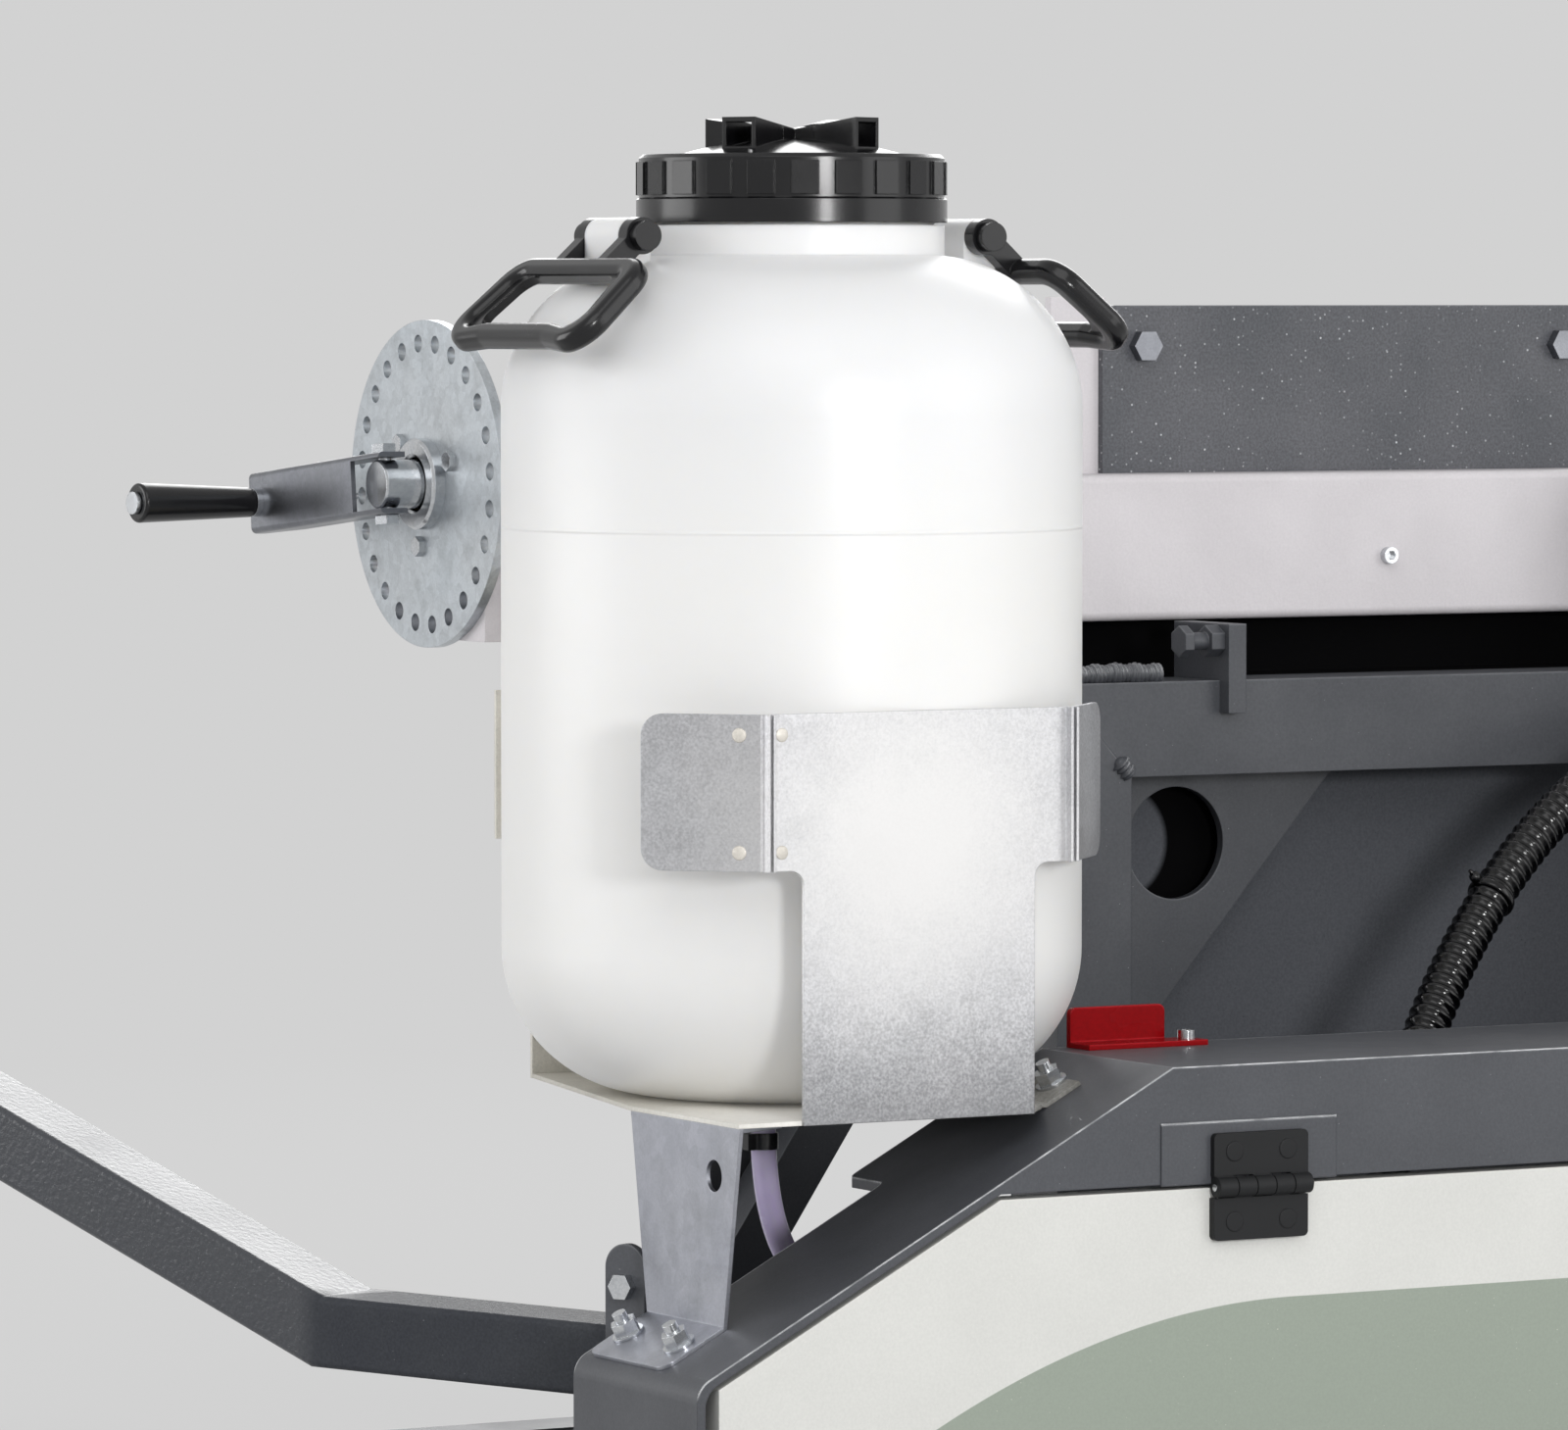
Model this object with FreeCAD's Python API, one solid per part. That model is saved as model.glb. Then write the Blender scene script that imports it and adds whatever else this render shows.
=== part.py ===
"""Coolant and index end of a wet grinding sharpener, one solid for each piece.

Units are millimetres, +Z is up, and the origin is the centre of the base bolts on the floor.
+X runs along the machine away from the coolant tank, and -Y is the operator's side.
"""
import FreeCAD, Part
import math
import os

V = FreeCAD.Vector

# Base frame: a ring of folded channel that stands on the floor
BASE_X = 425.0
BASE_Y = 218.0
BASE_H = 40.0
BASE_T = 4.0
BASE_FLANGE = 40.0
BASE_HOLE_X = 404.0
BASE_HOLE_Y = 198.0
BASE_HOLE_R = 5.5
SILL_Y = 116.0
SILL_DEPTH = 50.0
PAN_T = 2.0

# Front rail: folded plate with a flat deck, a sloped shoulder and an end wall
DECK_Z = 269.0
RAIL_FRONT = -218.0
RAIL_WIDTH = 137.0
RAIL_T = 5.0
SLOPE_TOP_X = -133.0
SLOPE = math.radians(28.0)
APRON_H = 63.0
RAIL_REAR_FLANGE = 30.0
RELIEF_X = (-352.0, -255.0)
RELIEF_Y = -118.0
BEND_R = 14.0
WALL_X = 417.0

# Coolant tank: blow moulded drum with a wide neck
TANK_X = -261.0
TANK_Y = -28.0
TRAY_Z = 245.0
TRAY_T = 2.5
TANK_R = 159.0
TANK_WALL = 3.0
FOOT_R = 80.0
SHOULDER_R = 84.0
SHOULDER_Z = 376.0
NECK_R = 83.5
NECK_TOP = 476.0
THREAD_R = 77.0
MOUTH_R = 71.0
RIM_Z = 505.0

# Screw lid
LID_R = 85.0
LID_BORE = 78.5
LID_BOTTOM = 477.5
LID_BAND_TOP = 491.0
LID_TOP = 514.5
LID_UNDER = 508.5
LID_PADS = 22
LID_DOME_R = 62.0
LID_DOME_RISE = 9.0
LID_ARM_REACH = 50.0
LID_ARM_TOP = 534.5
LID_ARM_ANGLE = 25.5

# Swing handles
HANDLE_X = 108.0
HANDLE_Z = 470.0
HANDLE_DROOP = 42.0
HANDLE_PIN_R = 4.0
LUG_HALF = 19.0
EAR_T = 9.0
LOOP_NEAR = 22.0
LOOP_FAR = 92.0
LOOP_HALF_NEAR = 72.0
LOOP_HALF_FAR = 80.0
LOOP_BAR = 13.0
LOOP_BOW = 5.0
LOOP_BOW_HALF = 36.0
LOOP_WEB = 8.0
LOOP_WEB_T = 5.0

# Outlet and hose
OUTLET_X = -18.0
HOSE_R = 7.0
HOSE_BORE_R = 5.0
HOSE_ROUTE = [V(-18, 0, -14), V(-18, 0, -62), V(10, 0, -110.5), V(58.5, 0, -138.5), V(108.5, 0, -138.5)]
PUMP_Z = -138.5

# Galvanised cradle
SHEET = 2.4
CRADLE_SHIFT = -13.0
STRIP_HALF = 71.0
BAND_HALF = 96.0
BAND_Z0 = 135.0
BAND_Z1 = 218.0
REAR_BAND_LEFT = -99.0
REAR_STRIP_LEFT = -76.5
TAB_LEN = 66.0
RIGHT_TAB_LEN = 57.0
SLOPE_TAB_RUN = 24.0
SEAM_RISE = 5.0
SEAM_T = 1.6
SEAM_GAP = 1.8
LEG_X = -120.0
LEG_Y = -101.0
LEG_TOP_HALF = 60.0
LEG_FOOT_HALF = 42.0
FOOT_LEN = 38.0
FOOT_BOLT_X = -140.0
FOOT_BOLT_SPACING = 56.0
SIDE_BOLT_X = 99.0
SIDE_BOLT_Y = -114.0
M8_R = 4.0
M8_FLATS = 13.0

# Index crank
AXIS_Y = 234.0
AXIS_Z = 576.0
DISC_FACE_X = -352.0
DISC_R = 93.0
DISC_T = 6.0
INDEX_HOLES = 24
INDEX_CIRCLE_R = 80.0
INDEX_HOLE_R = 5.0
COLLAR_R = 26.0
COLLAR_BORE = 15.5
COLLAR_T = 8.0
DISC_BOLT_R = 36.0
DISC_BOLT_ANGLES = (278.0, 38.0, 158.0)
SHAFT_R = 14.0
SHAFT_OUT = 31.0
SHAFT_END_X = -190.0
SPIGOT_R = 10.0
SPIGOT_LEN = 40.0
RUN_FIT = 0.05
LEVER_ANGLE = -6.0
LEVER_REST_TILT = 5.0
LEVER_PIVOT = 25.0
LEVER_WEB_OUT = 38.0
LEVER_T = 3.0
LEVER_HALF = 17.5
LEVER_LEN = 128.0
LEVER_MOUTH = 16.0
LEVER_DEPTH = 18.0
GRIP_RADIUS = 120.0
GRIP_LEN = 76.0

# Red stop on the deck
STOP_LEFT = -118.0
STOP_LEN = 61.0
STOP_T = 4.0
STOP_FOOT = 20.0
STOP_TAB = 16.0

# Upper frame
POST_X = -3.0
POST_W = 50.0
POST_Y = 116.0
TUBE_T = 3.0
TOP_RAIL_Z = 404.0
TOP_RAIL_H = 55.0
GUSSET_X = 208.0
GUSSET_Z = 219.0
GUSSET_HOLE = (98.0, 362.5, 33.0)
PANEL_Y = 204.0
PANEL_T = 2.0
STRUT_W = 30.0
STRUT_Y = 136.0
STAND_X = (-215.0, -155.0)
EXIT_TAB_Y = 6.0
EXIT_TAB_Z = 464.0
STRUT_ANGLE = math.radians(56.0)
STRUT_FOOT_X = -241.7
BEAM_Y = 176.0
BEAM_D = 40.0
BEAM_Z = 492.0
BEAM_H = 86.0
BEAM_T = 4.0
END_PLATE_T = 10.0
BACK_PLATE_X = 85.0
BACK_PLATE_TOP = 677.0
BACK_PLATE_T = 5.0
BACK_BOLTS_X = (113.0, 411.0)
BACK_BOLT_Z = 653.0
BEAM_SCREW = (263.0, 528.0)

# Cover door and its hinges
DOOR_GAP = 3.0
DOOR_DEPTH = 18.0
DOOR_T = 2.0
DOOR_LEFT = -412.0
DOOR_RIGHT = 414.0
DOOR_BOTTOM = 46.0
HINGE_X = (-110.0, 250.0)
HINGE_W = 60.0
HINGE_LEAF = 29.0
HINGE_STAND = 6.0
KNUCKLE_R = 5.5
KNUCKLES = 5
HINGE_PIN_R = 2.0

# Support arm at the tank end, drawn along -X from its clevis and then turned to its place
ARM_W = 50.0
ARM_H = 40.0
ARM_T = 3.0
ARM_AT = V(-359.0, -50.0, 0)
ARM_TURN = -64.4
ARM_LINE = [(16.0, 107.0), (-214.0, 110.0), (-522.0, 234.0)]
ARM_CHEEK = (-10.0, 16.0)
ARM_BOLTS_Z = (150.0, 107.0)

# Cable conduit to the pump motor
CONDUIT_R = 13.0
CONDUIT_ROOT_R = 11.2
CONDUIT_BORE_R = 9.5
CONDUIT_PITCH = 7.5
GLAND_R = 15.0
GLAND_LEN = 14.0
CONDUIT_ROUTE = [V(678, 72, 181), V(626, 72, 181), V(552, 61, 141), V(498, 46, 98), V(450, 25, 50),
                 V(410, 4, -2), V(385, -10, -60), V(372, -14, -112)]


def save(shape, node):
    """Write one node's solid or group of solids."""
    shape.exportStep("parts/" + node + ".step")


def box(x0, x1, y0, y1, z0, z1):
    """Return an upright block between two values on each axis."""
    return Part.makeBox(x1 - x0, y1 - y0, z1 - z0, V(x0, y0, z0))


def rod(start, direction, radius, length):
    """Return a solid cylinder."""
    return Part.makeCylinder(radius, length, start, direction)


def ring(start, direction, outer, inner, length):
    """Return a cylinder with a round bore right through it."""
    return rod(start, direction, outer, length).cut(rod(start, direction, inner, length))


def prism(points, push):
    """Return the solid swept by a flat polygon along one vector."""
    return Part.Face(Part.makePolygon(points + [points[0]])).extrude(push)


def prism_xz(points, y0, y1):
    """Return a polygon given in X and Z, swept from y0 to y1."""
    return prism([V(x, y0, z) for x, z in points], V(0, y1 - y0, 0))


def prism_xy(points, z0, z1):
    """Return a polygon given in X and Y, swept from z0 to z1."""
    return prism([V(x, y, z0) for x, y in points], V(0, 0, z1 - z0))


def prism_yz(points, x0, x1):
    """Return a polygon given in Y and Z, swept from x0 to x1."""
    return prism([V(x0, y, z) for y, z in points], V(x1 - x0, 0, 0))


def hexagon(start, direction, flats, length):
    """Return a hexagonal bar that starts at a point and runs along a direction."""
    reach = flats / math.sqrt(3)
    turns = [math.radians(60 * i) for i in range(6)]
    points = [V(reach * math.cos(turn), reach * math.sin(turn), 0) for turn in turns]
    bar = prism(points, V(0, 0, length))
    bar.Placement = FreeCAD.Placement(start, FreeCAD.Rotation(V(0, 0, 1), direction))
    return bar


def along(start, direction, distance):
    """Return the point at a distance from a start along a direction."""
    return start + V(direction).normalize() * distance


def round_edges(shape, radius, wanted):
    """Fillet the edges for which the test on an edge's middle and direction is true."""
    edges = []
    for edge in shape.Edges:
        ends = edge.Vertexes
        if len(ends) < 2:
            continue
        run = ends[1].Point - ends[0].Point
        middle = (ends[0].Point + ends[1].Point) * 0.5
        if run.Length > 1e-6 and wanted(middle, run.normalize()):
            edges.append(edge)
    return shape.makeFillet(radius, edges)


def tank_point(x, y, z):
    """Return a place given from the tank's axis and the underside of its tray."""
    return V(TANK_X + x, TANK_Y + y, TRAY_Z + z)


def slope_z(x):
    """Return the height of the sloped shoulder's upper face."""
    return DECK_Z - (SLOPE_TOP_X - x) * math.tan(SLOPE)


SLOPE_UP = V(-math.sin(SLOPE), 0, math.cos(SLOPE))


def bolt(seat, direction, radius, flats, head, grip):
    """Return a hexagon bolt whose head sits on a point and whose shank runs against a direction."""
    shank = rod(seat, V(direction) * -1, radius, grip)
    return hexagon(seat, direction, flats, head).fuse(shank).removeSplitter()


def revolve_rz(edges, x, y):
    """Return the solid turned by edges drawn in the plane of +X and Z about an upright axis."""
    face = Part.Face(Part.Wire(edges))
    return face.revolve(V(x, y, 0), V(0, 0, 1), 360)


def polyline(points):
    """Return straight edges through a list of points."""
    return [Part.LineSegment(a, b).toShape() for a, b in zip(points, points[1:])]


def arc(start, through, end):
    """Return a circular edge through three points."""
    return Part.Arc(start, through, end).toShape()


def drum(radius_off, bottom, top, neck):
    """Return the solid drum whose walls lie a given distance inside the tank's outer face.

    The last list holds the neck's radius and height pairs, from the shoulder up to the axis.
    """
    side = TANK_R - radius_off
    foot = FOOT_R - radius_off
    crown = SHOULDER_R - radius_off
    low = TRAY_T + FOOT_R
    diagonal = math.sqrt(0.5)

    def at(r, z):
        return tank_point(r, 0, z)

    neck_in = neck[0][0]
    crown_x = TANK_R - SHOULDER_R
    meet = SHOULDER_Z + math.sqrt(crown ** 2 - (neck_in - crown_x) ** 2)
    edges = polyline([at(0, top), at(0, bottom), at(TANK_R - FOOT_R, bottom)])
    foot_middle = at(TANK_R - FOOT_R + foot * diagonal, low - foot * diagonal)
    edges.append(arc(at(TANK_R - FOOT_R, bottom), foot_middle, at(side, low)))
    edges += polyline([at(side, low), at(side, SHOULDER_Z)])
    crown_middle = at(crown_x + crown * diagonal, SHOULDER_Z + crown * diagonal)
    edges.append(arc(at(side, SHOULDER_Z), crown_middle, at(neck_in, meet)))
    edges += polyline([at(neck_in, meet)] + [at(r, z) for r, z in neck] + [at(0, top)])
    return revolve_rz(edges, TANK_X, TANK_Y)


def make_tank():
    """Build the drum with its neck, handle lugs and outlet hole."""
    outer = drum(0, TRAY_T, RIM_Z, [(NECK_R, NECK_TOP), (THREAD_R, NECK_TOP), (THREAD_R, RIM_Z)])
    inner = drum(TANK_WALL, TRAY_T + TANK_WALL, RIM_Z, [(MOUTH_R, RIM_Z)])
    lug_r = 10.0
    lug_foot = 40.0
    body = outer
    for side in (-1, 1):
        pin = tank_point(side * HANDLE_X, -LUG_HALF, HANDLE_Z)
        lug = rod(pin, V(0, 1, 0), lug_r, 2 * LUG_HALF)
        stem = box(pin.x - lug_r, pin.x + lug_r, pin.y, pin.y + 2 * LUG_HALF, pin.z - lug_foot, pin.z)
        body = body.fuse(lug.fuse(stem))
    body = body.cut(inner)
    for side in (-1, 1):
        pin = tank_point(side * HANDLE_X, -LUG_HALF, HANDLE_Z)
        body = body.cut(rod(pin, V(0, 1, 0), HANDLE_PIN_R, 2 * LUG_HALF))
    body = body.cut(rod(tank_point(OUTLET_X, 0, 0), V(0, 0, 1), 10.0, 20.0))
    save(body.removeSplitter(), "tank_body")


def lid_arm(angle):
    """Return one flared arm of the lid's cross grip, open at its outer end."""
    base = LID_TOP - 3.0
    hub_top = LID_ARM_TOP - 7.0
    wall = 2.5
    low_half = 7.0
    end_half = 11.0
    side = [V(0, 0, base), V(LID_ARM_REACH, 0, base), V(LID_ARM_REACH, 0, LID_ARM_TOP), V(0, 0, hub_top)]
    body = prism(side, V(0, 2 * end_half, 0))
    body.translate(V(0, -end_half, 0))
    plan = prism_xy([(0, -low_half), (LID_ARM_REACH, -end_half), (LID_ARM_REACH, end_half), (0, low_half)],
                    base, LID_ARM_TOP)
    pocket = box(20.0, LID_ARM_REACH, wall - end_half, end_half - wall, LID_TOP + 4.0, LID_ARM_TOP - wall)
    arm = body.common(plan).cut(pocket)
    arm.rotate(V(0, 0, 0), V(0, 0, 1), angle)
    return arm


def make_lid():
    """Build the screw lid with its pads, dome and cross grip, and the flat gasket under it."""
    grip_r = LID_R - 1.5
    dome_foot = LID_TOP
    dome_top = LID_TOP + LID_DOME_RISE
    skin = LID_TOP - LID_UNDER

    def at(r, z):
        return V(r, 0, z)

    sphere_r = (LID_DOME_R ** 2 + LID_DOME_RISE ** 2) / (2 * LID_DOME_RISE)
    half_drop = sphere_r - math.sqrt(sphere_r ** 2 - (LID_DOME_R / 2) ** 2)
    edges = polyline([at(0, dome_top - skin), at(0, dome_top)])
    edges.append(arc(at(0, dome_top), at(LID_DOME_R / 2, dome_top - half_drop), at(LID_DOME_R, dome_foot)))
    edges += polyline([at(LID_DOME_R, dome_foot), at(grip_r - 2, dome_foot), at(grip_r, dome_foot - 2),
                       at(grip_r, LID_BAND_TOP), at(LID_R, LID_BAND_TOP - 1), at(LID_R, LID_BOTTOM),
                       at(LID_BORE, LID_BOTTOM), at(LID_BORE, LID_UNDER), at(LID_DOME_R, LID_UNDER)])
    inner_middle = at(LID_DOME_R / 2, dome_top - skin - half_drop)
    edges.append(arc(at(LID_DOME_R, LID_UNDER), inner_middle, at(0, dome_top - skin)))
    cap = revolve_rz(edges, 0, 0)
    pad = box(grip_r - 1.0, LID_R - 0.2, -7.5, 7.5, LID_BAND_TOP + 1.5, LID_TOP - 4.0)
    for i in range(LID_PADS):
        block = pad.copy()
        block.rotate(V(0, 0, 0), V(0, 0, 1), 360.0 * i / LID_PADS)
        cap = cap.fuse(block)
    for quarter in range(4):
        cap = cap.fuse(lid_arm(LID_ARM_ANGLE + 90.0 * quarter))
    cap.translate(tank_point(0, 0, 0))
    save(cap.removeSplitter(), "lid_cap")
    save(ring(tank_point(0, 0, RIM_Z + 0.2), V(0, 0, 1), 76.5, 71.5, 3.0), "lid_seal")


def handle_shape():
    """Return the handle on the +X side, level, with its pin on the Y axis at the origin."""
    half_t = LOOP_BAR / 2

    def loop_outline(inset, ends=0.0):
        near = LOOP_NEAR + inset
        far = LOOP_FAR - inset
        near_half = LOOP_HALF_NEAR - inset - ends
        far_half = LOOP_HALF_FAR - inset - ends
        bowed = far - LOOP_BOW
        return [(near, -near_half), (far, -far_half), (bowed, -LOOP_BOW_HALF), (bowed, LOOP_BOW_HALF),
                (far, far_half), (near, near_half)]

    def upright(middle, run):
        return abs(run.z) > 0.9

    loop = round_edges(prism_xy(loop_outline(0), -half_t, half_t), 20.0, upright)
    loop = loop.cut(round_edges(prism_xy(loop_outline(LOOP_BAR), -half_t, half_t), 10.0, upright))
    loop = loop.makeFillet(5.0, [e for e in loop.Edges if abs(abs(e.CenterOfMass.z) - half_t) < 0.01])
    window = round_edges(prism_xy(loop_outline(LOOP_BAR, LOOP_WEB), -half_t, half_t), 12.0, upright)
    sheet = prism_xy(loop_outline(LOOP_BAR / 2), -LOOP_WEB_T / 2, LOOP_WEB_T / 2)
    handle = loop.fuse(round_edges(sheet, 14.0, upright).cut(window))
    for side in (-1, 1):
        y = side * (LUG_HALF + 0.5 + EAR_T / 2)
        ear = rod(V(0, y - EAR_T / 2, 0), V(0, 1, 0), 10.0, EAR_T)
        link = box(0, LOOP_NEAR + 6.0, y - EAR_T / 2, y + EAR_T / 2, -6.0, 6.0)
        handle = handle.fuse(ear).fuse(link)
    bore = rod(V(0, -LOOP_HALF_NEAR, 0), V(0, 1, 0), HANDLE_PIN_R + RUN_FIT, 2 * LOOP_HALF_NEAR)
    ears_only = box(-11.0, 11.0, -30.0, 30.0, -11.0, 11.0)
    return handle.cut(bore.common(ears_only)).removeSplitter()


def make_handles():
    """Build the two swing handles and the headed pins they turn on."""
    level = handle_shape()
    pins = []
    for node, turn in (("right_handle", 0.0), ("left_handle", 180.0)):
        handle = level.copy()
        handle.rotate(V(0, 0, 0), V(0, 1, 0), HANDLE_DROOP)
        handle.rotate(V(0, 0, 0), V(0, 0, 1), turn)
        side = math.cos(math.radians(turn))
        centre = tank_point(side * HANDLE_X, 0, HANDLE_Z)
        handle.translate(centre)
        save(handle, node)
        reach = LUG_HALF + EAR_T + 1.0
        head = 6.0
        pin = rod(centre - V(0, reach, 0), V(0, 1, 0), HANDLE_PIN_R, 2 * reach)
        for end in (-1, 1):
            start = centre + V(0, end * reach, 0)
            pin = pin.fuse(rod(start, V(0, end, 0), 8.0, head))
        pins.append(pin.removeSplitter())
    save(Part.makeCompound(pins), "handle_pins")


def make_outlet():
    """Build the outlet nipple with its seal and nut, under the tank."""
    stem_r = 9.8
    floor = TRAY_T + TANK_WALL
    seal_t = 2.5
    down = V(0, 0, -1)
    save(ring(tank_point(OUTLET_X, 0, floor), V(0, 0, 1), 16.0, 10.2, seal_t), "outlet_seal")
    top = tank_point(OUTLET_X, 0, floor + seal_t)
    nipple = rod(top, V(0, 0, 1), 16.0, 4.0).fuse(rod(top, down, stem_r, floor + seal_t + 12.0))
    barb = rod(tank_point(OUTLET_X, 0, -12.0), down, HOSE_BORE_R - 0.1, 26.0)
    nipple = nipple.fuse(barb).cut(rod(tank_point(OUTLET_X, 0, 20.0), down, 3.5, 80.0))
    save(nipple.removeSplitter(), "outlet_nipple")
    nut = hexagon(tank_point(OUTLET_X, 0, 0), down, 30.0, 9.0)
    nut = nut.cut(rod(tank_point(OUTLET_X, 0, 1), down, stem_r + 0.1, 12.0))
    save(nut, "outlet_nut")


def rounded_path(points, label):
    """Return the edges of a route whose corners are arcs as large as their runs allow."""
    edges = []
    radii = []
    start = points[0]
    for before, corner, after in zip(points, points[1:], points[2:]):
        into = (corner - before).normalize()
        out = (after - corner).normalize()
        run = min((corner - before).Length, (after - corner).Length)
        turn = into.getAngle(out)
        reach = 0.45 * run
        radii.append(reach / math.tan(turn / 2))
        first = corner - into * reach
        last = corner + out * reach
        bisector = (out - into).normalize()
        middle = corner + bisector * (radii[-1] / math.cos(turn / 2) - radii[-1])
        edges.append(Part.LineSegment(start, first).toShape())
        edges.append(arc(first, middle, last))
        start = last
    edges.append(Part.LineSegment(start, points[-1]).toShape())
    print(label, "radii", [round(r, 1) for r in radii], "length", round(sum(e.Length for e in edges), 1))
    return edges


def tube_along(edges, radius):
    """Return a round solid swept along joined edges."""
    wire = Part.Wire(edges)
    start = edges[0].valueAt(edges[0].FirstParameter)
    heading = edges[0].tangentAt(edges[0].FirstParameter)
    section = Part.Wire([Part.Circle(start, heading, radius).toShape()])
    return wire.makePipeShell([section], True, True)


def make_hose():
    """Build the coolant hose and the clamps at its two ends."""
    points = [tank_point(p.x, p.y, p.z) for p in HOSE_ROUTE]
    edges = rounded_path(points, "coolant_hose")
    hose = tube_along(edges, HOSE_R).cut(tube_along(edges, HOSE_BORE_R))
    length = sum(e.Length for e in edges)
    expected = math.pi * (HOSE_R ** 2 - HOSE_BORE_R ** 2) * length
    print("coolant_hose volume", round(hose.Volume), "expected", round(expected))
    save(hose, "coolant_hose")
    band_w = 9.0
    band_out = HOSE_R + 1.4
    clamps = []
    ends = ((points[0], points[1] - points[0]), (points[-1], points[-2] - points[-1]))
    for end, inward in ends:
        seat = along(end, inward, 6.0)
        band = ring(seat, inward, band_out, HOSE_R + 0.05, band_w)
        screw = box(0, 12.0, -5.0, 5.0, 0, band_w)
        screw.Placement = FreeCAD.Placement(seat, FreeCAD.Rotation(V(0, 0, 1), inward))
        screw = screw.cut(rod(seat, inward, band_out - 0.7, band_w))
        clamps.append(band.fuse(screw).removeSplitter())
    save(Part.makeCompound(clamps), "hose_clamps")


def make_pump():
    """Build the coolant pump inside the cabinet: its wet end and its motor."""
    inlet = tank_point(HOSE_ROUTE[-1].x - 26.0, 0, PUMP_Z)
    face = tank_point(122.0, 0, PUMP_Z)
    ahead = V(1, 0, 0)
    barb = rod(inlet, ahead, HOSE_BORE_R - 0.1, face.x - inlet.x)
    hose_end = HOSE_ROUTE[-1].x + TANK_X
    collar = rod(V(hose_end, face.y, face.z), ahead, 11.0, face.x - hose_end)
    floor = BASE_H + PAN_T
    body = rod(face, ahead, 46.0, 44.0).fuse(barb).fuse(collar)
    foot = box(face.x + 6.0, face.x + 38.0, face.y - 34.0, face.y + 34.0, floor, face.z)
    spout = rod(V(face.x + 22.0, face.y, face.z), V(0, 0, 1), 12.0, 66.0)
    body = body.fuse(foot).fuse(spout)
    body = body.cut(rod(V(face.x + 22.0, face.y, face.z + 30.0), V(0, 0, 1), 8.0, 40.0))
    body = body.cut(rod(inlet, ahead, 3.5, 50.0))
    save(body.removeSplitter(), "pump_body")
    start = V(face.x + 44.0, face.y, face.z)
    box_x = CONDUIT_ROUTE[-1].x + TANK_X
    box_y = CONDUIT_ROUTE[-1].y + TANK_Y
    gland_at = tank_point(CONDUIT_ROUTE[-1].x, CONDUIT_ROUTE[-1].y, CONDUIT_ROUTE[-1].z)
    box_top = gland_at.z - 5.0
    motor_len = box_x - 26.0 - start.x
    motor = rod(start, ahead, 48.0, motor_len)
    for i in range(-3, 4):
        fin_y = start.y + 12.0 * i
        fin_x = (start.x + 12.0, start.x + motor_len - 12.0)
        fin = box(fin_x[0], fin_x[1], fin_y - 1.5, fin_y + 1.5, start.z, start.z + 54.0)
        motor = motor.fuse(fin)
    foot = box(start.x + 30.0, start.x + motor_len - 30.0, start.y - 40.0, start.y + 40.0, floor, start.z)
    motor = motor.fuse(foot)
    motor = motor.fuse(box(box_x - 26.0, box_x + 26.0, box_y - 26.0, box_y + 26.0, box_top - 52.0, box_top))
    motor = motor.fuse(rod(gland_at, CONDUIT_ROUTE[-1] - CONDUIT_ROUTE[-2], GLAND_R, GLAND_LEN))
    save(motor.removeSplitter(), "pump_motor")


def make_tray():
    """Build the cradle tray: its floor, and the tab that lies on the slope."""
    front = -(TANK_R + 0.6)
    right = 76.0
    rail_rear = RAIL_FRONT + RAIL_WIDTH - TANK_Y + 7.0
    far_right = 143.0
    cut_y = 78.0
    cut_x = 82.0
    left = LEG_X - SHEET
    points = [(left, front), (CRADLE_SHIFT + STRIP_HALF, front), (right, front + 20.0), (right, rail_rear),
              (far_right, rail_rear), (far_right, cut_y), (cut_x, -front), (REAR_STRIP_LEFT, -front),
              (left, LEG_Y + LEG_TOP_HALF)]
    floor = prism_xy(points, 0, TRAY_T)
    foot_x = SLOPE_TOP_X - (DECK_Z - TRAY_Z) / math.tan(SLOPE) - TANK_X
    tip = V(foot_x + SLOPE_TAB_RUN * math.cos(SLOPE), 0, SLOPE_TAB_RUN * math.sin(SLOPE))
    lift = SLOPE_UP * TRAY_T
    inner_x = foot_x + lift.x + (TRAY_T - lift.z) / math.tan(SLOPE)
    tab = prism_xz([(right, 0), (foot_x, 0), (tip.x, tip.z), (tip.x + lift.x, tip.z + lift.z),
                    (inner_x, TRAY_T), (right, TRAY_T)], SIDE_BOLT_Y - 20.0, SIDE_BOLT_Y + 20.0)
    seat = V(SIDE_BOLT_X, SIDE_BOLT_Y, slope_z(TANK_X + SIDE_BOLT_X) - TRAY_Z)
    tray = floor.fuse(tab)
    tray = tray.cut(rod(seat - SLOPE_UP * 8.0, SLOPE_UP, M8_R + 0.5, 16.0))
    tray = tray.cut(rod(V(OUTLET_X, 0, -1.0), V(0, 0, 1), 13.0, 10.0))
    tray = tray.removeSplitter()
    tray.translate(tank_point(0, 0, 0))
    save(tray, "cradle_tray")


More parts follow.
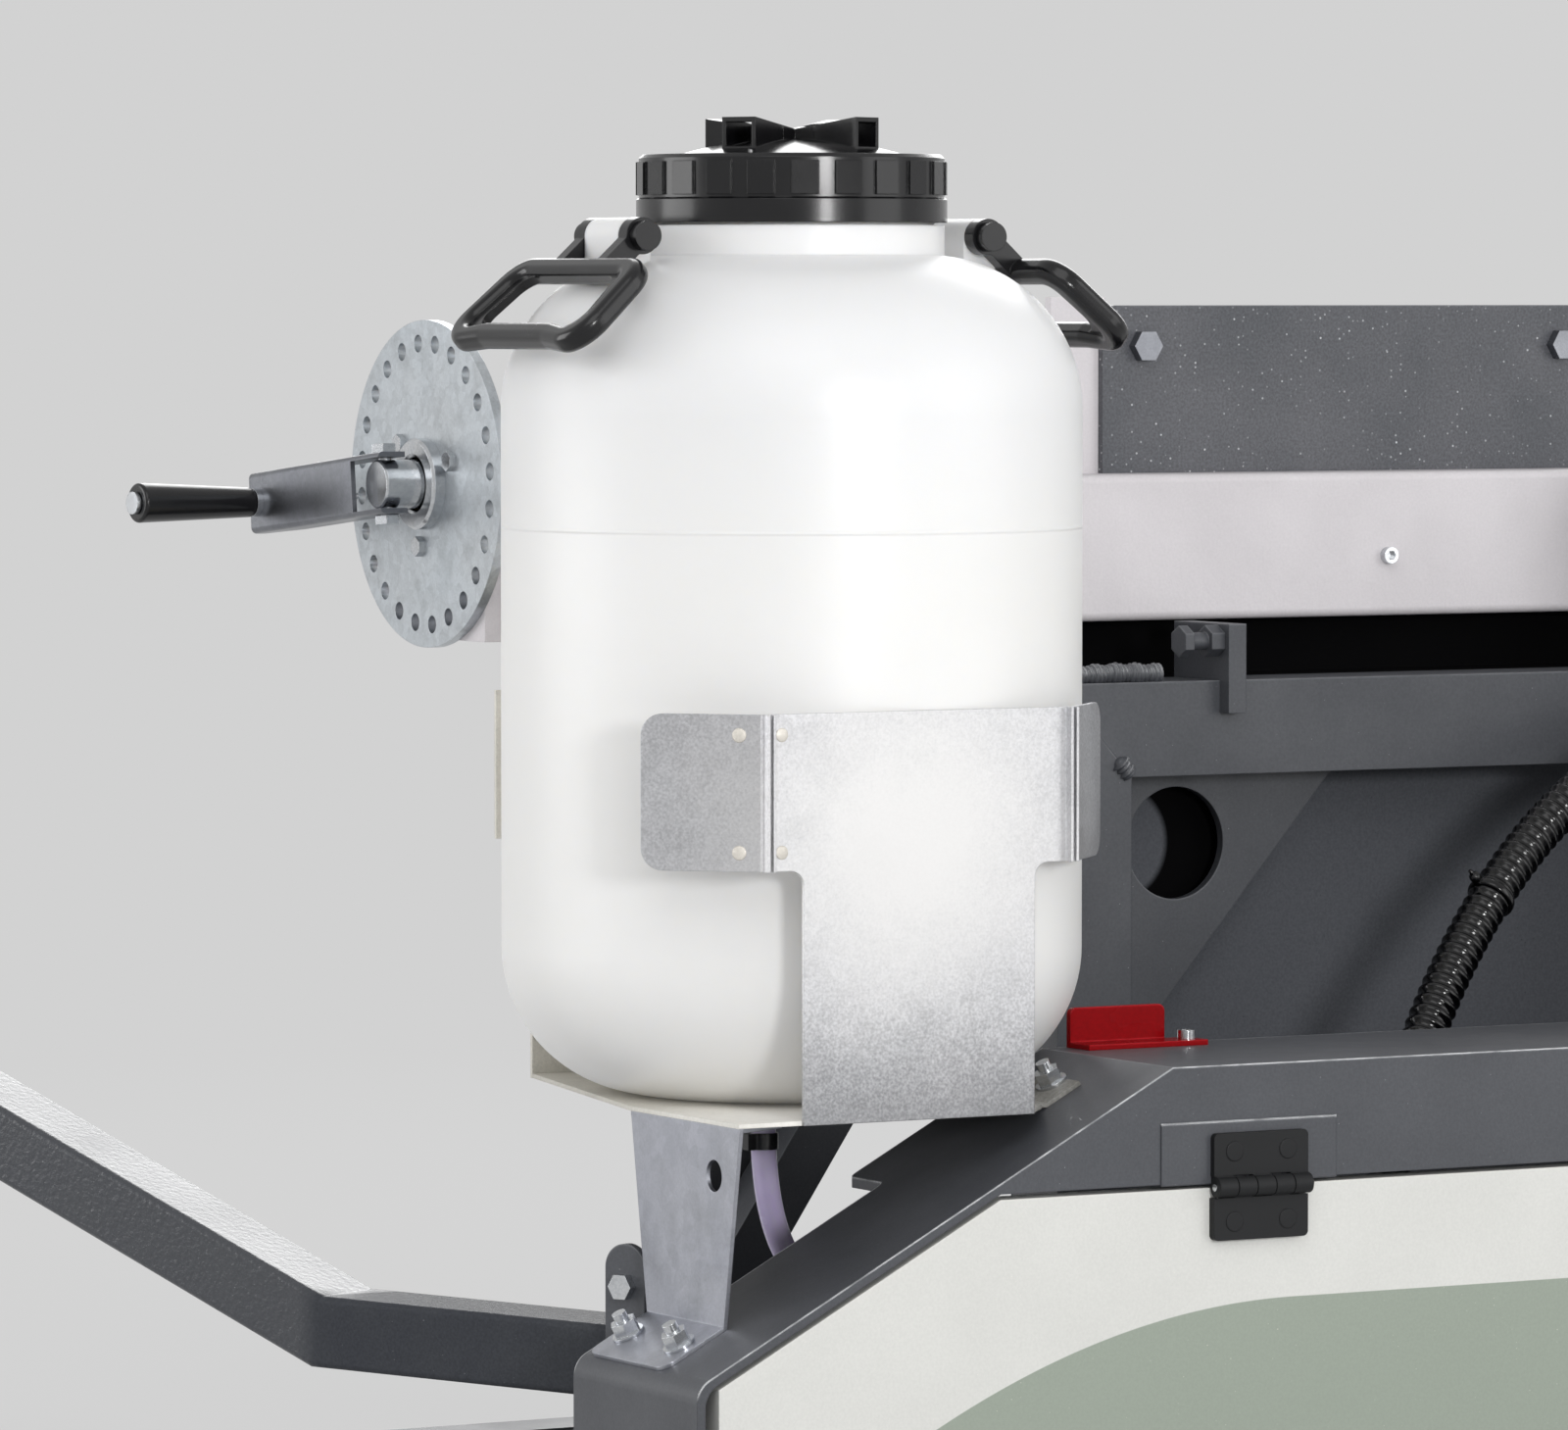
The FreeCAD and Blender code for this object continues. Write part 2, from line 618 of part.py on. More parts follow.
def bracket_shape():
    """Return the front T-shaped bracket, with a folded tab and a seam at each end of its band."""
    face = -(TANK_R + 0.6)
    back = face - SHEET
    strip = box(CRADLE_SHIFT - STRIP_HALF, CRADLE_SHIFT + STRIP_HALF, back, face, 0, BAND_Z0)
    band = box(CRADLE_SHIFT - BAND_HALF, CRADLE_SHIFT + BAND_HALF, back, face, BAND_Z0, BAND_Z1)
    shape = strip.fuse(band)
    reaches = {-1: TAB_LEN * math.sqrt(0.5), 1: RIGHT_TAB_LEN * math.sqrt(0.5)}
    lean = SHEET * math.tan(math.radians(22.5))
    for side, reach in reaches.items():
        root = CRADLE_SHIFT + side * BAND_HALF
        skew = SHEET * math.sqrt(0.5)
        plan = [(root, back), (root, face), (root + side * (reach - lean), face + reach),
                (root + side * (reach - lean + skew), face + reach - skew), (root + side * lean, back)]
        tab = prism_xy(plan, BAND_Z0, BAND_Z1)
        shape = shape.fuse(tab)
        for start in (0.4, 0.4 + SEAM_T + SEAM_GAP):
            edge = sorted((root - side * start, root - side * (start + SEAM_T)))
            shape = shape.fuse(box(edge[0], edge[1], back - SEAM_RISE, face, BAND_Z0, BAND_Z1))

    def free_corner(middle, run):
        across = abs(middle.x - CRADLE_SHIFT)
        end = BAND_HALF + reaches[1 if middle.x > CRADLE_SHIFT else -1]
        return abs(run.z) < 0.1 and across > end - 6.0 and abs(run.x) > 0.5

    def inner_corner(middle, run):
        across = abs(middle.x - CRADLE_SHIFT)
        return abs(run.y) > 0.9 and abs(across - STRIP_HALF) < 0.1 and abs(middle.z - BAND_Z0) < 0.1

    shape = round_edges(shape.removeSplitter(), 12.0, free_corner)
    return round_edges(shape, 8.0, inner_corner)


def make_brackets():
    """Build the front bracket, and its mirror image at the back with a shorter band."""
    front = bracket_shape()
    far = 2 * TANK_R
    rear = front.mirror(V(0, 0, 0), V(0, 1, 0)).cut(box(-far, REAR_BAND_LEFT, -far, far, 0, far))
    rear = rear.cut(box(-far, REAR_STRIP_LEFT, -far, far, 0, BAND_Z0)).removeSplitter()
    for shape, node in ((front, "front_bracket"), (rear, "rear_bracket")):
        placed = shape.copy()
        placed.translate(tank_point(0, 0, 0))
        save(placed, node)


def make_leg():
    """Build the tapered leg with its top flange and the foot that is bolted to the slope."""
    top = LEG_X
    out = LEG_X - SHEET

    def ground(x):
        return slope_z(TANK_X + x) - TRAY_Z

    near = LEG_Y - LEG_TOP_HALF
    far = LEG_Y + LEG_TOP_HALF
    low_z = ground(out)
    plate = prism_yz([(near, 0), (far, 0), (LEG_Y + LEG_FOOT_HALF, low_z), (LEG_Y - LEG_FOOT_HALF, low_z)],
                     out, top)
    slant = [(out, low_z), (top, ground(top)), (top, low_z - 1.0), (out, low_z - 1.0)]
    plate = plate.cut(prism_xz(slant, LEG_Y - 80.0, LEG_Y + 80.0))
    flange = prism_xy([(out, near), (-88.0, LEG_Y - 44.0), (-88.0, far), (out, far)], -SHEET, 0)
    low = LEG_X - FOOT_LEN
    lift = SLOPE_UP * SHEET
    foot = [(top, ground(top)), (low, ground(low)), (low + lift.x, ground(low) + lift.z),
            (top + lift.x, ground(top) + lift.z)]
    foot = prism_xz(foot, LEG_Y - LEG_FOOT_HALF, LEG_Y + LEG_FOOT_HALF)

    def toe(middle, run):
        return middle.x < low + 2.0 and abs(run.y) < 0.1

    foot = round_edges(foot, 8.0, toe)
    leg = plate.fuse(flange).fuse(foot)
    leg = leg.cut(rod(V(out - 1.0, -133.0, -27.0), V(1, 0, 0), 8.5, SHEET + 2.0))
    for side in (-1, 1):
        seat = V(FOOT_BOLT_X, LEG_Y + side * FOOT_BOLT_SPACING / 2, ground(FOOT_BOLT_X))
        leg = leg.cut(rod(seat - SLOPE_UP, SLOPE_UP, M8_R + 0.5, 8.0))
    leg = leg.removeSplitter()
    leg.translate(tank_point(0, 0, 0))
    save(leg, "cradle_leg")


def cradle_seats():
    """Return where the cradle's bolts go through the slope, on its upper face."""
    half = FOOT_BOLT_SPACING / 2
    places = [(FOOT_BOLT_X, LEG_Y - half), (FOOT_BOLT_X, LEG_Y + half), (SIDE_BOLT_X, SIDE_BOLT_Y)]
    return [V(TANK_X + x, TANK_Y + y, slope_z(TANK_X + x)) for x, y in places]


def make_cradle_fasteners():
    """Build the bolts, washers and nuts that hold the cradle to the slope."""
    washer_t = 1.6
    head = 7.0
    bolts = []
    washers = []
    nuts = []
    for seat in cradle_seats():
        on_sheet = seat + SLOPE_UP * (SHEET + 0.1)
        washers.append(ring(on_sheet, SLOPE_UP, 9.0, M8_R + 0.2, washer_t))
        head_seat = on_sheet + SLOPE_UP * washer_t
        stud_tip = rod(head_seat, SLOPE_UP, M8_R, head + 5.0)
        bolts.append(bolt(head_seat, SLOPE_UP, M8_R, M8_FLATS, head, 22.0).fuse(stud_tip).removeSplitter())
        under = seat - SLOPE_UP * RAIL_T
        thread = rod(under, SLOPE_UP * -1, M8_R + 0.05, 8.0)
        nuts.append(hexagon(under, SLOPE_UP * -1, M8_FLATS, 6.5).cut(thread))
    save(Part.makeCompound(bolts), "cradle_bolts")
    save(Part.makeCompound(washers), "cradle_washers")
    save(Part.makeCompound(nuts), "cradle_nuts")


def axis_point(x, radius=0.0, angle=0.0):
    """Return a place on or about the crank's axis."""
    turn = math.radians(angle)
    return V(x, AXIS_Y + radius * math.cos(turn), AXIS_Z + radius * math.sin(turn))


def make_index_disc():
    """Build the fixed disc with its circle of holes, its collar and its three bolts."""
    ahead = V(1, 0, 0)
    disc = rod(axis_point(DISC_FACE_X), ahead, DISC_R, DISC_T)
    disc = disc.cut(rod(axis_point(DISC_FACE_X), ahead, COLLAR_BORE, DISC_T))
    for i in range(INDEX_HOLES):
        hole = axis_point(DISC_FACE_X, INDEX_CIRCLE_R, LEVER_ANGLE + 360.0 * i / INDEX_HOLES)
        disc = disc.cut(rod(hole, ahead, INDEX_HOLE_R, DISC_T))
    bolts = []
    bolt_r = 3.0
    for angle in DISC_BOLT_ANGLES:
        seat = axis_point(DISC_FACE_X, DISC_BOLT_R, angle)
        disc = disc.cut(rod(seat, ahead, bolt_r + 0.2, DISC_T))
        bolts.append(bolt(seat, V(-1, 0, 0), bolt_r, 10.0, 4.0, DISC_T + END_PLATE_T))
    save(disc, "index_disc")
    save(Part.makeCompound(bolts), "disc_bolts")
    collar = ring(axis_point(DISC_FACE_X - COLLAR_T), ahead, COLLAR_R, COLLAR_BORE, COLLAR_T)
    front = [e for e in collar.Edges if abs(e.CenterOfMass.x - DISC_FACE_X + COLLAR_T) < 0.01]
    save(collar.makeChamfer(1.5, front), "hub_collar")


def make_shaft():
    """Build the crank shaft, its bush in the end plate and its bearing block behind the beam."""
    ahead = V(1, 0, 0)
    outer_end = DISC_FACE_X - SHAFT_OUT
    shaft = rod(axis_point(outer_end), ahead, SHAFT_R, SHAFT_END_X - outer_end)
    rims = [e for e in shaft.Edges if e.CenterOfMass.x < outer_end + 1.0 and len(e.Vertexes) == 1]
    shaft = shaft.makeChamfer(1.0, rims)
    shaft = shaft.fuse(rod(axis_point(SHAFT_END_X), ahead, SPIGOT_R, SPIGOT_LEN))
    shaft = shaft.cut(lever_place(rod(V(0, 0, -20.0), V(0, 0, 1), M8_R + RUN_FIT, 40.0), 0.0))
    save(shaft, "crank_shaft")
    bush_len = 28.0
    save(ring(axis_point(DISC_FACE_X + DISC_T), ahead, 17.0, SHAFT_R + RUN_FIT, bush_len), "shaft_bush")
    rear = BEAM_Y + BEAM_D
    block = box(-240.0, -200.0, rear, rear + 42.0, AXIS_Z - 30.0, AXIS_Z + 30.0)
    block = block.cut(rod(axis_point(-240.0), ahead, SHAFT_R + RUN_FIT, 40.0))
    save(round_edges(block, 6.0, lambda m, d: abs(d.x) > 0.9 and m.y > rear + 40.0), "bearing_block")


def lever_place(shape, tilt):
    """Move a piece drawn about the lever's pivot to its place on the crank.

    It is drawn with the arm along +Y, the pivot along Z and the machine towards +X.
    """
    placed = shape.copy()
    placed.rotate(V(0, 0, 0), V(0, 0, 1), tilt)
    placed.rotate(V(0, 0, 0), V(1, 0, 0), LEVER_ANGLE)
    placed.translate(axis_point(DISC_FACE_X - LEVER_PIVOT))
    return placed


def make_lever():
    """Build the folded lever, its pivot pin, the index pin, and the grip on its rod."""
    web_out = LEVER_PIVOT - LEVER_WEB_OUT
    tail = -14.0
    channel = box(web_out, web_out + LEVER_DEPTH, tail, LEVER_LEN, -LEVER_HALF, LEVER_HALF)
    in_half = LEVER_HALF - LEVER_T
    inside = box(web_out + LEVER_T, web_out + LEVER_DEPTH, tail, LEVER_LEN, -in_half, in_half)

    def fold(middle, run):
        return abs(run.y) > 0.9 and middle.x < web_out + 0.1

    channel = round_edges(channel, 3.5, fold).cut(inside)
    rim = web_out + LEVER_DEPTH
    toe = prism_xy([(rim, LEVER_LEN - 30.0), (rim, LEVER_LEN), (web_out + 9.0, LEVER_LEN)],
                   -LEVER_HALF, LEVER_HALF)
    mouth = box(web_out, web_out + LEVER_T, tail, LEVER_MOUTH, -in_half, in_half)
    channel = channel.cut(toe).cut(mouth)
    pivot = rod(V(0, 0, -LEVER_HALF), V(0, 0, 1), M8_R + RUN_FIT, 2 * LEVER_HALF)
    stud_r = 5.0
    out = V(-1, 0, 0)
    stud_seat = V(web_out, GRIP_RADIUS, 0)
    channel = channel.cut(pivot).cut(rod(stud_seat, V(1, 0, 0), stud_r, LEVER_T))
    save(lever_place(channel, LEVER_REST_TILT), "crank_lever")
    head = 5.0
    pin = rod(V(0, 0, -LEVER_HALF - head), V(0, 0, 1), M8_R, 2 * LEVER_HALF + 2 * head)
    for end in (-1, 1):
        start = V(0, 0, end * (LEVER_HALF + 0.3))
        pin = pin.fuse(hexagon(start, V(0, 0, end), M8_FLATS, head))
    save(lever_place(pin.removeSplitter(), 0.0), "lever_pin")
    pin_r = 3.5
    depth = 5.0
    tip_x = LEVER_PIVOT + depth
    start = V(web_out + LEVER_T, INDEX_CIRCLE_R, 0)
    straight = tip_x - depth - 1.0 - start.x
    index = rod(start, V(1, 0, 0), pin_r, straight)
    index = index.fuse(Part.makeCone(pin_r, 1.8, depth + 1.0, start + V(straight, 0, 0), V(1, 0, 0)))
    save(lever_place(index.removeSplitter(), LEVER_REST_TILT), "index_pin")
    washer = 4.0
    stud = rod(stud_seat + V(LEVER_T, 0, 0), out, stud_r - 0.05, LEVER_T + washer + GRIP_LEN + 2.0)
    stud = stud.fuse(rod(stud_seat, out, 8.0, washer))
    far = stud_seat + out * (washer + GRIP_LEN + 1.0)
    stud = stud.fuse(rod(far, out, 6.5, 2.5))
    save(lever_place(stud.removeSplitter(), LEVER_REST_TILT), "grip_rod")
    near_r = 8.5
    far_r = 11.5
    grip_start = stud_seat + out * (washer + 0.4)
    grip = Part.makeCone(near_r, far_r, GRIP_LEN, grip_start, out)
    grip = grip.makeFillet(2.0, [e for e in grip.Edges if len(e.Vertexes) == 1])
    grip = grip.cut(rod(grip_start, out, stud_r + RUN_FIT, GRIP_LEN))
    save(lever_place(grip, LEVER_REST_TILT), "crank_grip")


def make_base():
    """Build the base ring with its sill under the posts, and the floor pan on it."""
    base = box(-BASE_X, BASE_X, -BASE_Y, BASE_Y, 0, BASE_H)
    in_x = BASE_X - BASE_FLANGE
    in_y = BASE_Y - BASE_FLANGE
    base = base.cut(box(-in_x, in_x, -in_y, in_y, 0, BASE_H))
    skin_x = BASE_X - BASE_T
    skin_y = BASE_Y - BASE_T
    base = base.cut(box(-skin_x, skin_x, -skin_y, skin_y, BASE_T, BASE_H - BASE_T))
    sill_x = in_x + 20.0
    sill_back = SILL_Y + SILL_DEPTH
    sill = box(-sill_x, sill_x, SILL_Y, sill_back, BASE_T, BASE_H)
    sill = sill.cut(box(-sill_x, sill_x, SILL_Y + BASE_T, sill_back - BASE_T, BASE_T, BASE_H - BASE_T))
    base = base.fuse(sill)
    for x in (-BASE_HOLE_X, BASE_HOLE_X):
        for y in (-BASE_HOLE_Y, BASE_HOLE_Y):
            base = base.cut(rod(V(x, y, 0), V(0, 0, 1), BASE_HOLE_R, BASE_T))

    def outer_corner(middle, run):
        return abs(run.z) > 0.9 and abs(middle.x) > BASE_X - 1 and abs(middle.y) > BASE_Y - 1

    base = round_edges(base.removeSplitter(), 5.0, outer_corner)
    save(base, "base_frame")
    pan = box(RAIL_T + 1.0 - BASE_X, WALL_X - 1.0, 22.0 - BASE_Y, SILL_Y - 2.0, BASE_H, BASE_H + PAN_T)
    save(pan, "floor_pan")


def make_front_rail():
    """Build the folded front rail: deck, slope with a relief for the hose, walls and flanges."""
    rear = RAIL_FRONT + RAIL_WIDTH
    lower = slope_z(-BASE_X)
    under = RAIL_T / math.cos(SLOPE)
    inner_x = RAIL_T - BASE_X
    inner_corner = SLOPE_TOP_X + (under - RAIL_T) / math.tan(SLOPE)
    skin = [(WALL_X, DECK_Z), (SLOPE_TOP_X, DECK_Z), (-BASE_X, lower), (-BASE_X, BASE_H), (inner_x, BASE_H),
            (inner_x, slope_z(inner_x) - under), (inner_corner, DECK_Z - RAIL_T), (WALL_X, DECK_Z - RAIL_T)]
    rail = prism_xz(skin, RAIL_FRONT, rear)

    def low_bend(middle, run):
        return abs(run.y) > 0.9 and middle.x < inner_x + 0.1 and middle.z > BASE_H + 10.0

    rail = round_edges(rail, BEND_R, low_bend)
    relief = box(RELIEF_X[0], RELIEF_X[1], RELIEF_Y, rear + 1.0, BASE_H, DECK_Z)

    def relief_corner(middle, run):
        return abs(run.z) > 0.9 and min(abs(middle.x - x) for x in RELIEF_X) < 0.1

    rail = round_edges(rail.cut(relief), 4.0, relief_corner)
    apron_x = SLOPE_TOP_X - APRON_H / math.tan(SLOPE)
    apron_z = DECK_Z - APRON_H
    apron = [(WALL_X, DECK_Z), (SLOPE_TOP_X, DECK_Z), (apron_x, apron_z), (WALL_X, apron_z)]
    apron = prism_xz(apron, RAIL_FRONT, RAIL_FRONT + RAIL_T)
    flange = box(SLOPE_TOP_X + 20.0, WALL_X, rear - RAIL_T, rear, DECK_Z - RAIL_REAR_FLANGE, DECK_Z - RAIL_T)
    web_x = -300.0
    web_y = RAIL_FRONT + 30.0
    pan_z = BASE_H + PAN_T
    web = [(inner_x, pan_z), (web_x, pan_z), (web_x, slope_z(web_x) - under),
           (inner_x, slope_z(inner_x) - under)]
    web = prism_xz(web, web_y, web_y + RAIL_T)
    rail = rail.fuse(apron).fuse(flange).fuse(web)
    for seat in cradle_seats():
        rail = rail.cut(rod(seat + SLOPE_UP, SLOPE_UP * -1, M8_R + 0.5, RAIL_T + 3.0))
    rail = rail.cut(rod(stop_screw_seat(), V(0, 0, -1), 3.1, 10.0))
    save(rail.removeSplitter(), "front_rail")


def make_upper_frame():
    """Build the post, top rail, gusset, back panel, strut, end bulkhead and beam stand."""
    right = POST_X + POST_W
    rail_top = TOP_RAIL_Z + TOP_RAIL_H
    depth = (POST_Y, POST_Y + POST_W)
    bore = (POST_Y + TUBE_T, POST_Y + POST_W - TUBE_T)
    post = prism_xz([(POST_X, BASE_H), (right, BASE_H), (right, TOP_RAIL_Z), (POST_X, rail_top)], *depth)
    post = post.cut(box(POST_X + TUBE_T, right - TUBE_T, bore[0], bore[1], BASE_H, rail_top))
    save(post, "rear_post")
    mitred = [(POST_X, rail_top), (right, TOP_RAIL_Z), (WALL_X, TOP_RAIL_Z), (WALL_X, rail_top)]
    rail = prism_xz(mitred, *depth)
    rail = rail.cut(box(POST_X, WALL_X, bore[0], bore[1], TOP_RAIL_Z + TUBE_T, rail_top - TUBE_T))
    save(rail, "top_rail")
    hole_x, hole_z, hole_r = GUSSET_HOLE
    gusset = prism_xz([(right, TOP_RAIL_Z), (GUSSET_X, TOP_RAIL_Z), (right, GUSSET_Z)], 150.0, 156.0)
    save(gusset.cut(rod(V(hole_x, 149.0, hole_z), V(0, 1, 0), hole_r, 8.0)), "gusset_plate")
    panel = box(POST_X, WALL_X, depth[1], depth[1] + PANEL_T, BASE_H, rail_top)
    panel = panel.fuse(box(POST_X, WALL_X, depth[1], PANEL_Y + PANEL_T, rail_top - PANEL_T, rail_top))
    panel = panel.fuse(box(POST_X, WALL_X, PANEL_Y, PANEL_Y + PANEL_T, rail_top - PANEL_T, BEAM_Z))
    save(panel.removeSplitter(), "back_panel")
    rise = math.tan(STRUT_ANGLE)
    wide = STRUT_W / math.sin(STRUT_ANGLE)
    reach = POST_X - STRUT_FOOT_X
    strut = [(STRUT_FOOT_X, BASE_H), (POST_X, BASE_H + reach * rise),
             (POST_X, BASE_H + (reach + wide) * rise), (STRUT_FOOT_X - wide, BASE_H)]
    save(prism_xz(strut, STRUT_Y, STRUT_Y + STRUT_W), "rear_strut")
    rear = BEAM_Y + BEAM_D
    bulkhead = prism_yz([(-BASE_Y, BASE_H), (rear, BASE_H), (rear, BEAM_Z + BEAM_H), (110.0, BEAM_Z + BEAM_H),
                         (110.0, EXIT_TAB_Z), (EXIT_TAB_Y, EXIT_TAB_Z), (EXIT_TAB_Y, DECK_Z),
                         (-BASE_Y, DECK_Z)],
                        WALL_X, BASE_X)
    for y in (-150.0, 70.0):
        for z in (90.0, 230.0):
            bulkhead = bulkhead.cut(rod(V(WALL_X, y, z), V(1, 0, 0), 5.5, BASE_X - WALL_X))
    exit_point = tank_point(CONDUIT_ROUTE[0].x, CONDUIT_ROUTE[0].y, CONDUIT_ROUTE[0].z)
    bulkhead = bulkhead.cut(rod(exit_point, V(1, 0, 0), 9.0, BASE_X - WALL_X))
    save(bulkhead, "end_bulkhead")
    x0, x1 = STAND_X
    stand = box(x0, x1, BEAM_Y, rear, BASE_H, BEAM_Z)
    stand = stand.cut(box(x0 + TUBE_T, x1 - TUBE_T, BEAM_Y + TUBE_T, rear - TUBE_T, BASE_H, BEAM_Z))
    save(stand, "beam_stand")


def make_beam():
    """Build the beam with its end plate, the back plate on its brackets, and their fasteners."""
    plate_x = DISC_FACE_X + DISC_T
    start = plate_x + END_PLATE_T
    rear = BEAM_Y + BEAM_D
    top = BEAM_Z + BEAM_H
    ahead = V(1, 0, 0)
    beam = box(start, WALL_X, BEAM_Y, rear, BEAM_Z, top)
    beam = round_edges(beam, 5.0, lambda m, d: abs(d.x) > 0.9)
    beam = beam.cut(box(start, WALL_X, BEAM_Y + BEAM_T, rear - BEAM_T, BEAM_Z + BEAM_T, top - BEAM_T))
    screw_x, screw_z = BEAM_SCREW
    beam = beam.cut(rod(V(screw_x, BEAM_Y, screw_z), V(0, 1, 0), 3.1, BEAM_T))
    save(beam, "beam")
    plate = box(plate_x, start, BEAM_Y - 4.0, AXIS_Y + 40.0, BEAM_Z - 4.0, AXIS_Z + 46.0)
    plate = plate.cut(rod(axis_point(plate_x), ahead, 17.05, END_PLATE_T))
    for angle in DISC_BOLT_ANGLES:
        plate = plate.cut(rod(axis_point(plate_x, DISC_BOLT_R, angle), ahead, 3.05, END_PLATE_T))
    save(round_edges(plate, 8.0, lambda m, d: abs(d.x) > 0.9 and m.y > AXIS_Y), "beam_end_plate")
    back = box(BACK_PLATE_X, BASE_X, rear - BACK_PLATE_T, rear, top, BACK_PLATE_TOP)
    back = round_edges(back, 9.0, lambda m, d: abs(d.y) > 0.9 and m.z > BACK_PLATE_TOP - 1)
    bracket_t = 6.0
    bolts = []
    brackets = []
    low = BEAM_Z + 10.0
    hidden_top = BACK_PLATE_TOP - 5.0
    front = rear - BACK_PLATE_T
    grip = BACK_PLATE_T + bracket_t
    for x in BACK_BOLTS_X:
        bracket = box(x - 14.0, x + 14.0, rear, rear + bracket_t, low, hidden_top)
        if x == BACK_BOLTS_X[0]:
            edge = BACK_PLATE_X + 5.0
            left = edge - 38.0
            bracket = bracket.fuse(box(left, x, rear, rear + bracket_t, low, hidden_top))
            bracket = bracket.fuse(box(left, edge, rear, rear + bracket_t, low, BACK_PLATE_TOP + 5.0))
        seat = V(x, front, BACK_BOLT_Z)
        hole = rod(seat, V(0, 1, 0), 5.2, grip)
        back = back.cut(hole)
        brackets.append(bracket.cut(hole).removeSplitter())
        bolts.append(bolt(seat, V(0, -1, 0), 5.0, 17.0, 7.0, grip + 4.0))
    save(back, "back_plate")
    save(Part.makeCompound(brackets), "back_brackets")
    save(Part.makeCompound(bolts), "back_plate_bolts")


def stop_screw_seat():
    """Return where the red stop's screw meets the deck."""
    y = RAIL_FRONT + RAIL_WIDTH - 2.0 - STOP_T - STOP_FOOT / 2
    return V(STOP_LEFT + STOP_LEN + STOP_TAB / 2, y, DECK_Z)


def make_stops():
    """Build the red stop on the deck, the stop block under the beam, and their screws."""
    hole = stop_screw_seat()
    y0 = hole.y + STOP_FOOT / 2
    right = STOP_LEFT + STOP_LEN
    plate = box(STOP_LEFT, right, y0, y0 + STOP_T, DECK_Z, DECK_Z + 22.0)
    plate = round_edges(plate, 4.0, lambda m, d: abs(d.y) > 0.9 and m.z > DECK_Z + 20.0)
    foot = box(STOP_LEFT, right + STOP_TAB, y0 - STOP_FOOT, y0, DECK_Z, DECK_Z + 3.0)
    stop = plate.fuse(foot).cut(rod(hole, V(0, 0, 1), 3.1, 3.0))
    save(stop.removeSplitter(), "red_stop")
    screw_x, screw_z = BEAM_SCREW
    screws = []
    for seat, out in ((hole + V(0, 0, 3.0), V(0, 0, 1)), (V(screw_x, BEAM_Y, screw_z), V(0, -1, 0))):
        head = rod(seat, out, 5.0, 5.0).cut(hexagon(along(seat, out, 2.0), out, 5.0, 4.0))
        screws.append(head.fuse(rod(seat, V(out) * -1, 3.0, 7.0)).removeSplitter())
    save(Part.makeCompound(screws), "cap_screws")
    block_x = (107.0, 119.0)
    top = TOP_RAIL_Z + TOP_RAIL_H
    block = box(block_x[0], block_x[1], POST_Y - 10.0, POST_Y + POST_W, top, BEAM_Z)
    lip = box(block_x[0], block_x[1], POST_Y - 10.0, POST_Y, top - 19.0, top)
    ahead = V(1, 0, 0)
    head = V(86.0, POST_Y + 2.0, BEAM_Z - 10.0)
    nut = V(block_x[0] - 9.0, head.y, head.z)
    block = block.fuse(lip).cut(rod(head, ahead, 5.1, 60.0))
    save(block.removeSplitter(), "stop_block")
    stop = bolt(head, V(-1, 0, 0), 5.0, 16.0, 6.0, 33.0).fuse(hexagon(nut, ahead, 16.0, 8.9))
    save(stop.removeSplitter(), "stop_bolt")


def door_outline(inset):
    """Return the cover door's outline in X and Z, drawn in by a distance on every side."""
    under = RAIL_T / math.cos(SLOPE) + DOOR_GAP + inset / math.cos(SLOPE)
    top = DECK_Z - APRON_H - DOOR_GAP - inset
    left = DOOR_LEFT + inset
    corner = SLOPE_TOP_X - (DECK_Z - under - top) / math.tan(SLOPE)
    right = DOOR_RIGHT - inset
    low = DOOR_BOTTOM + inset
    return [(right, top), (corner, top), (left, slope_z(left) - under), (left, low), (right, low)]


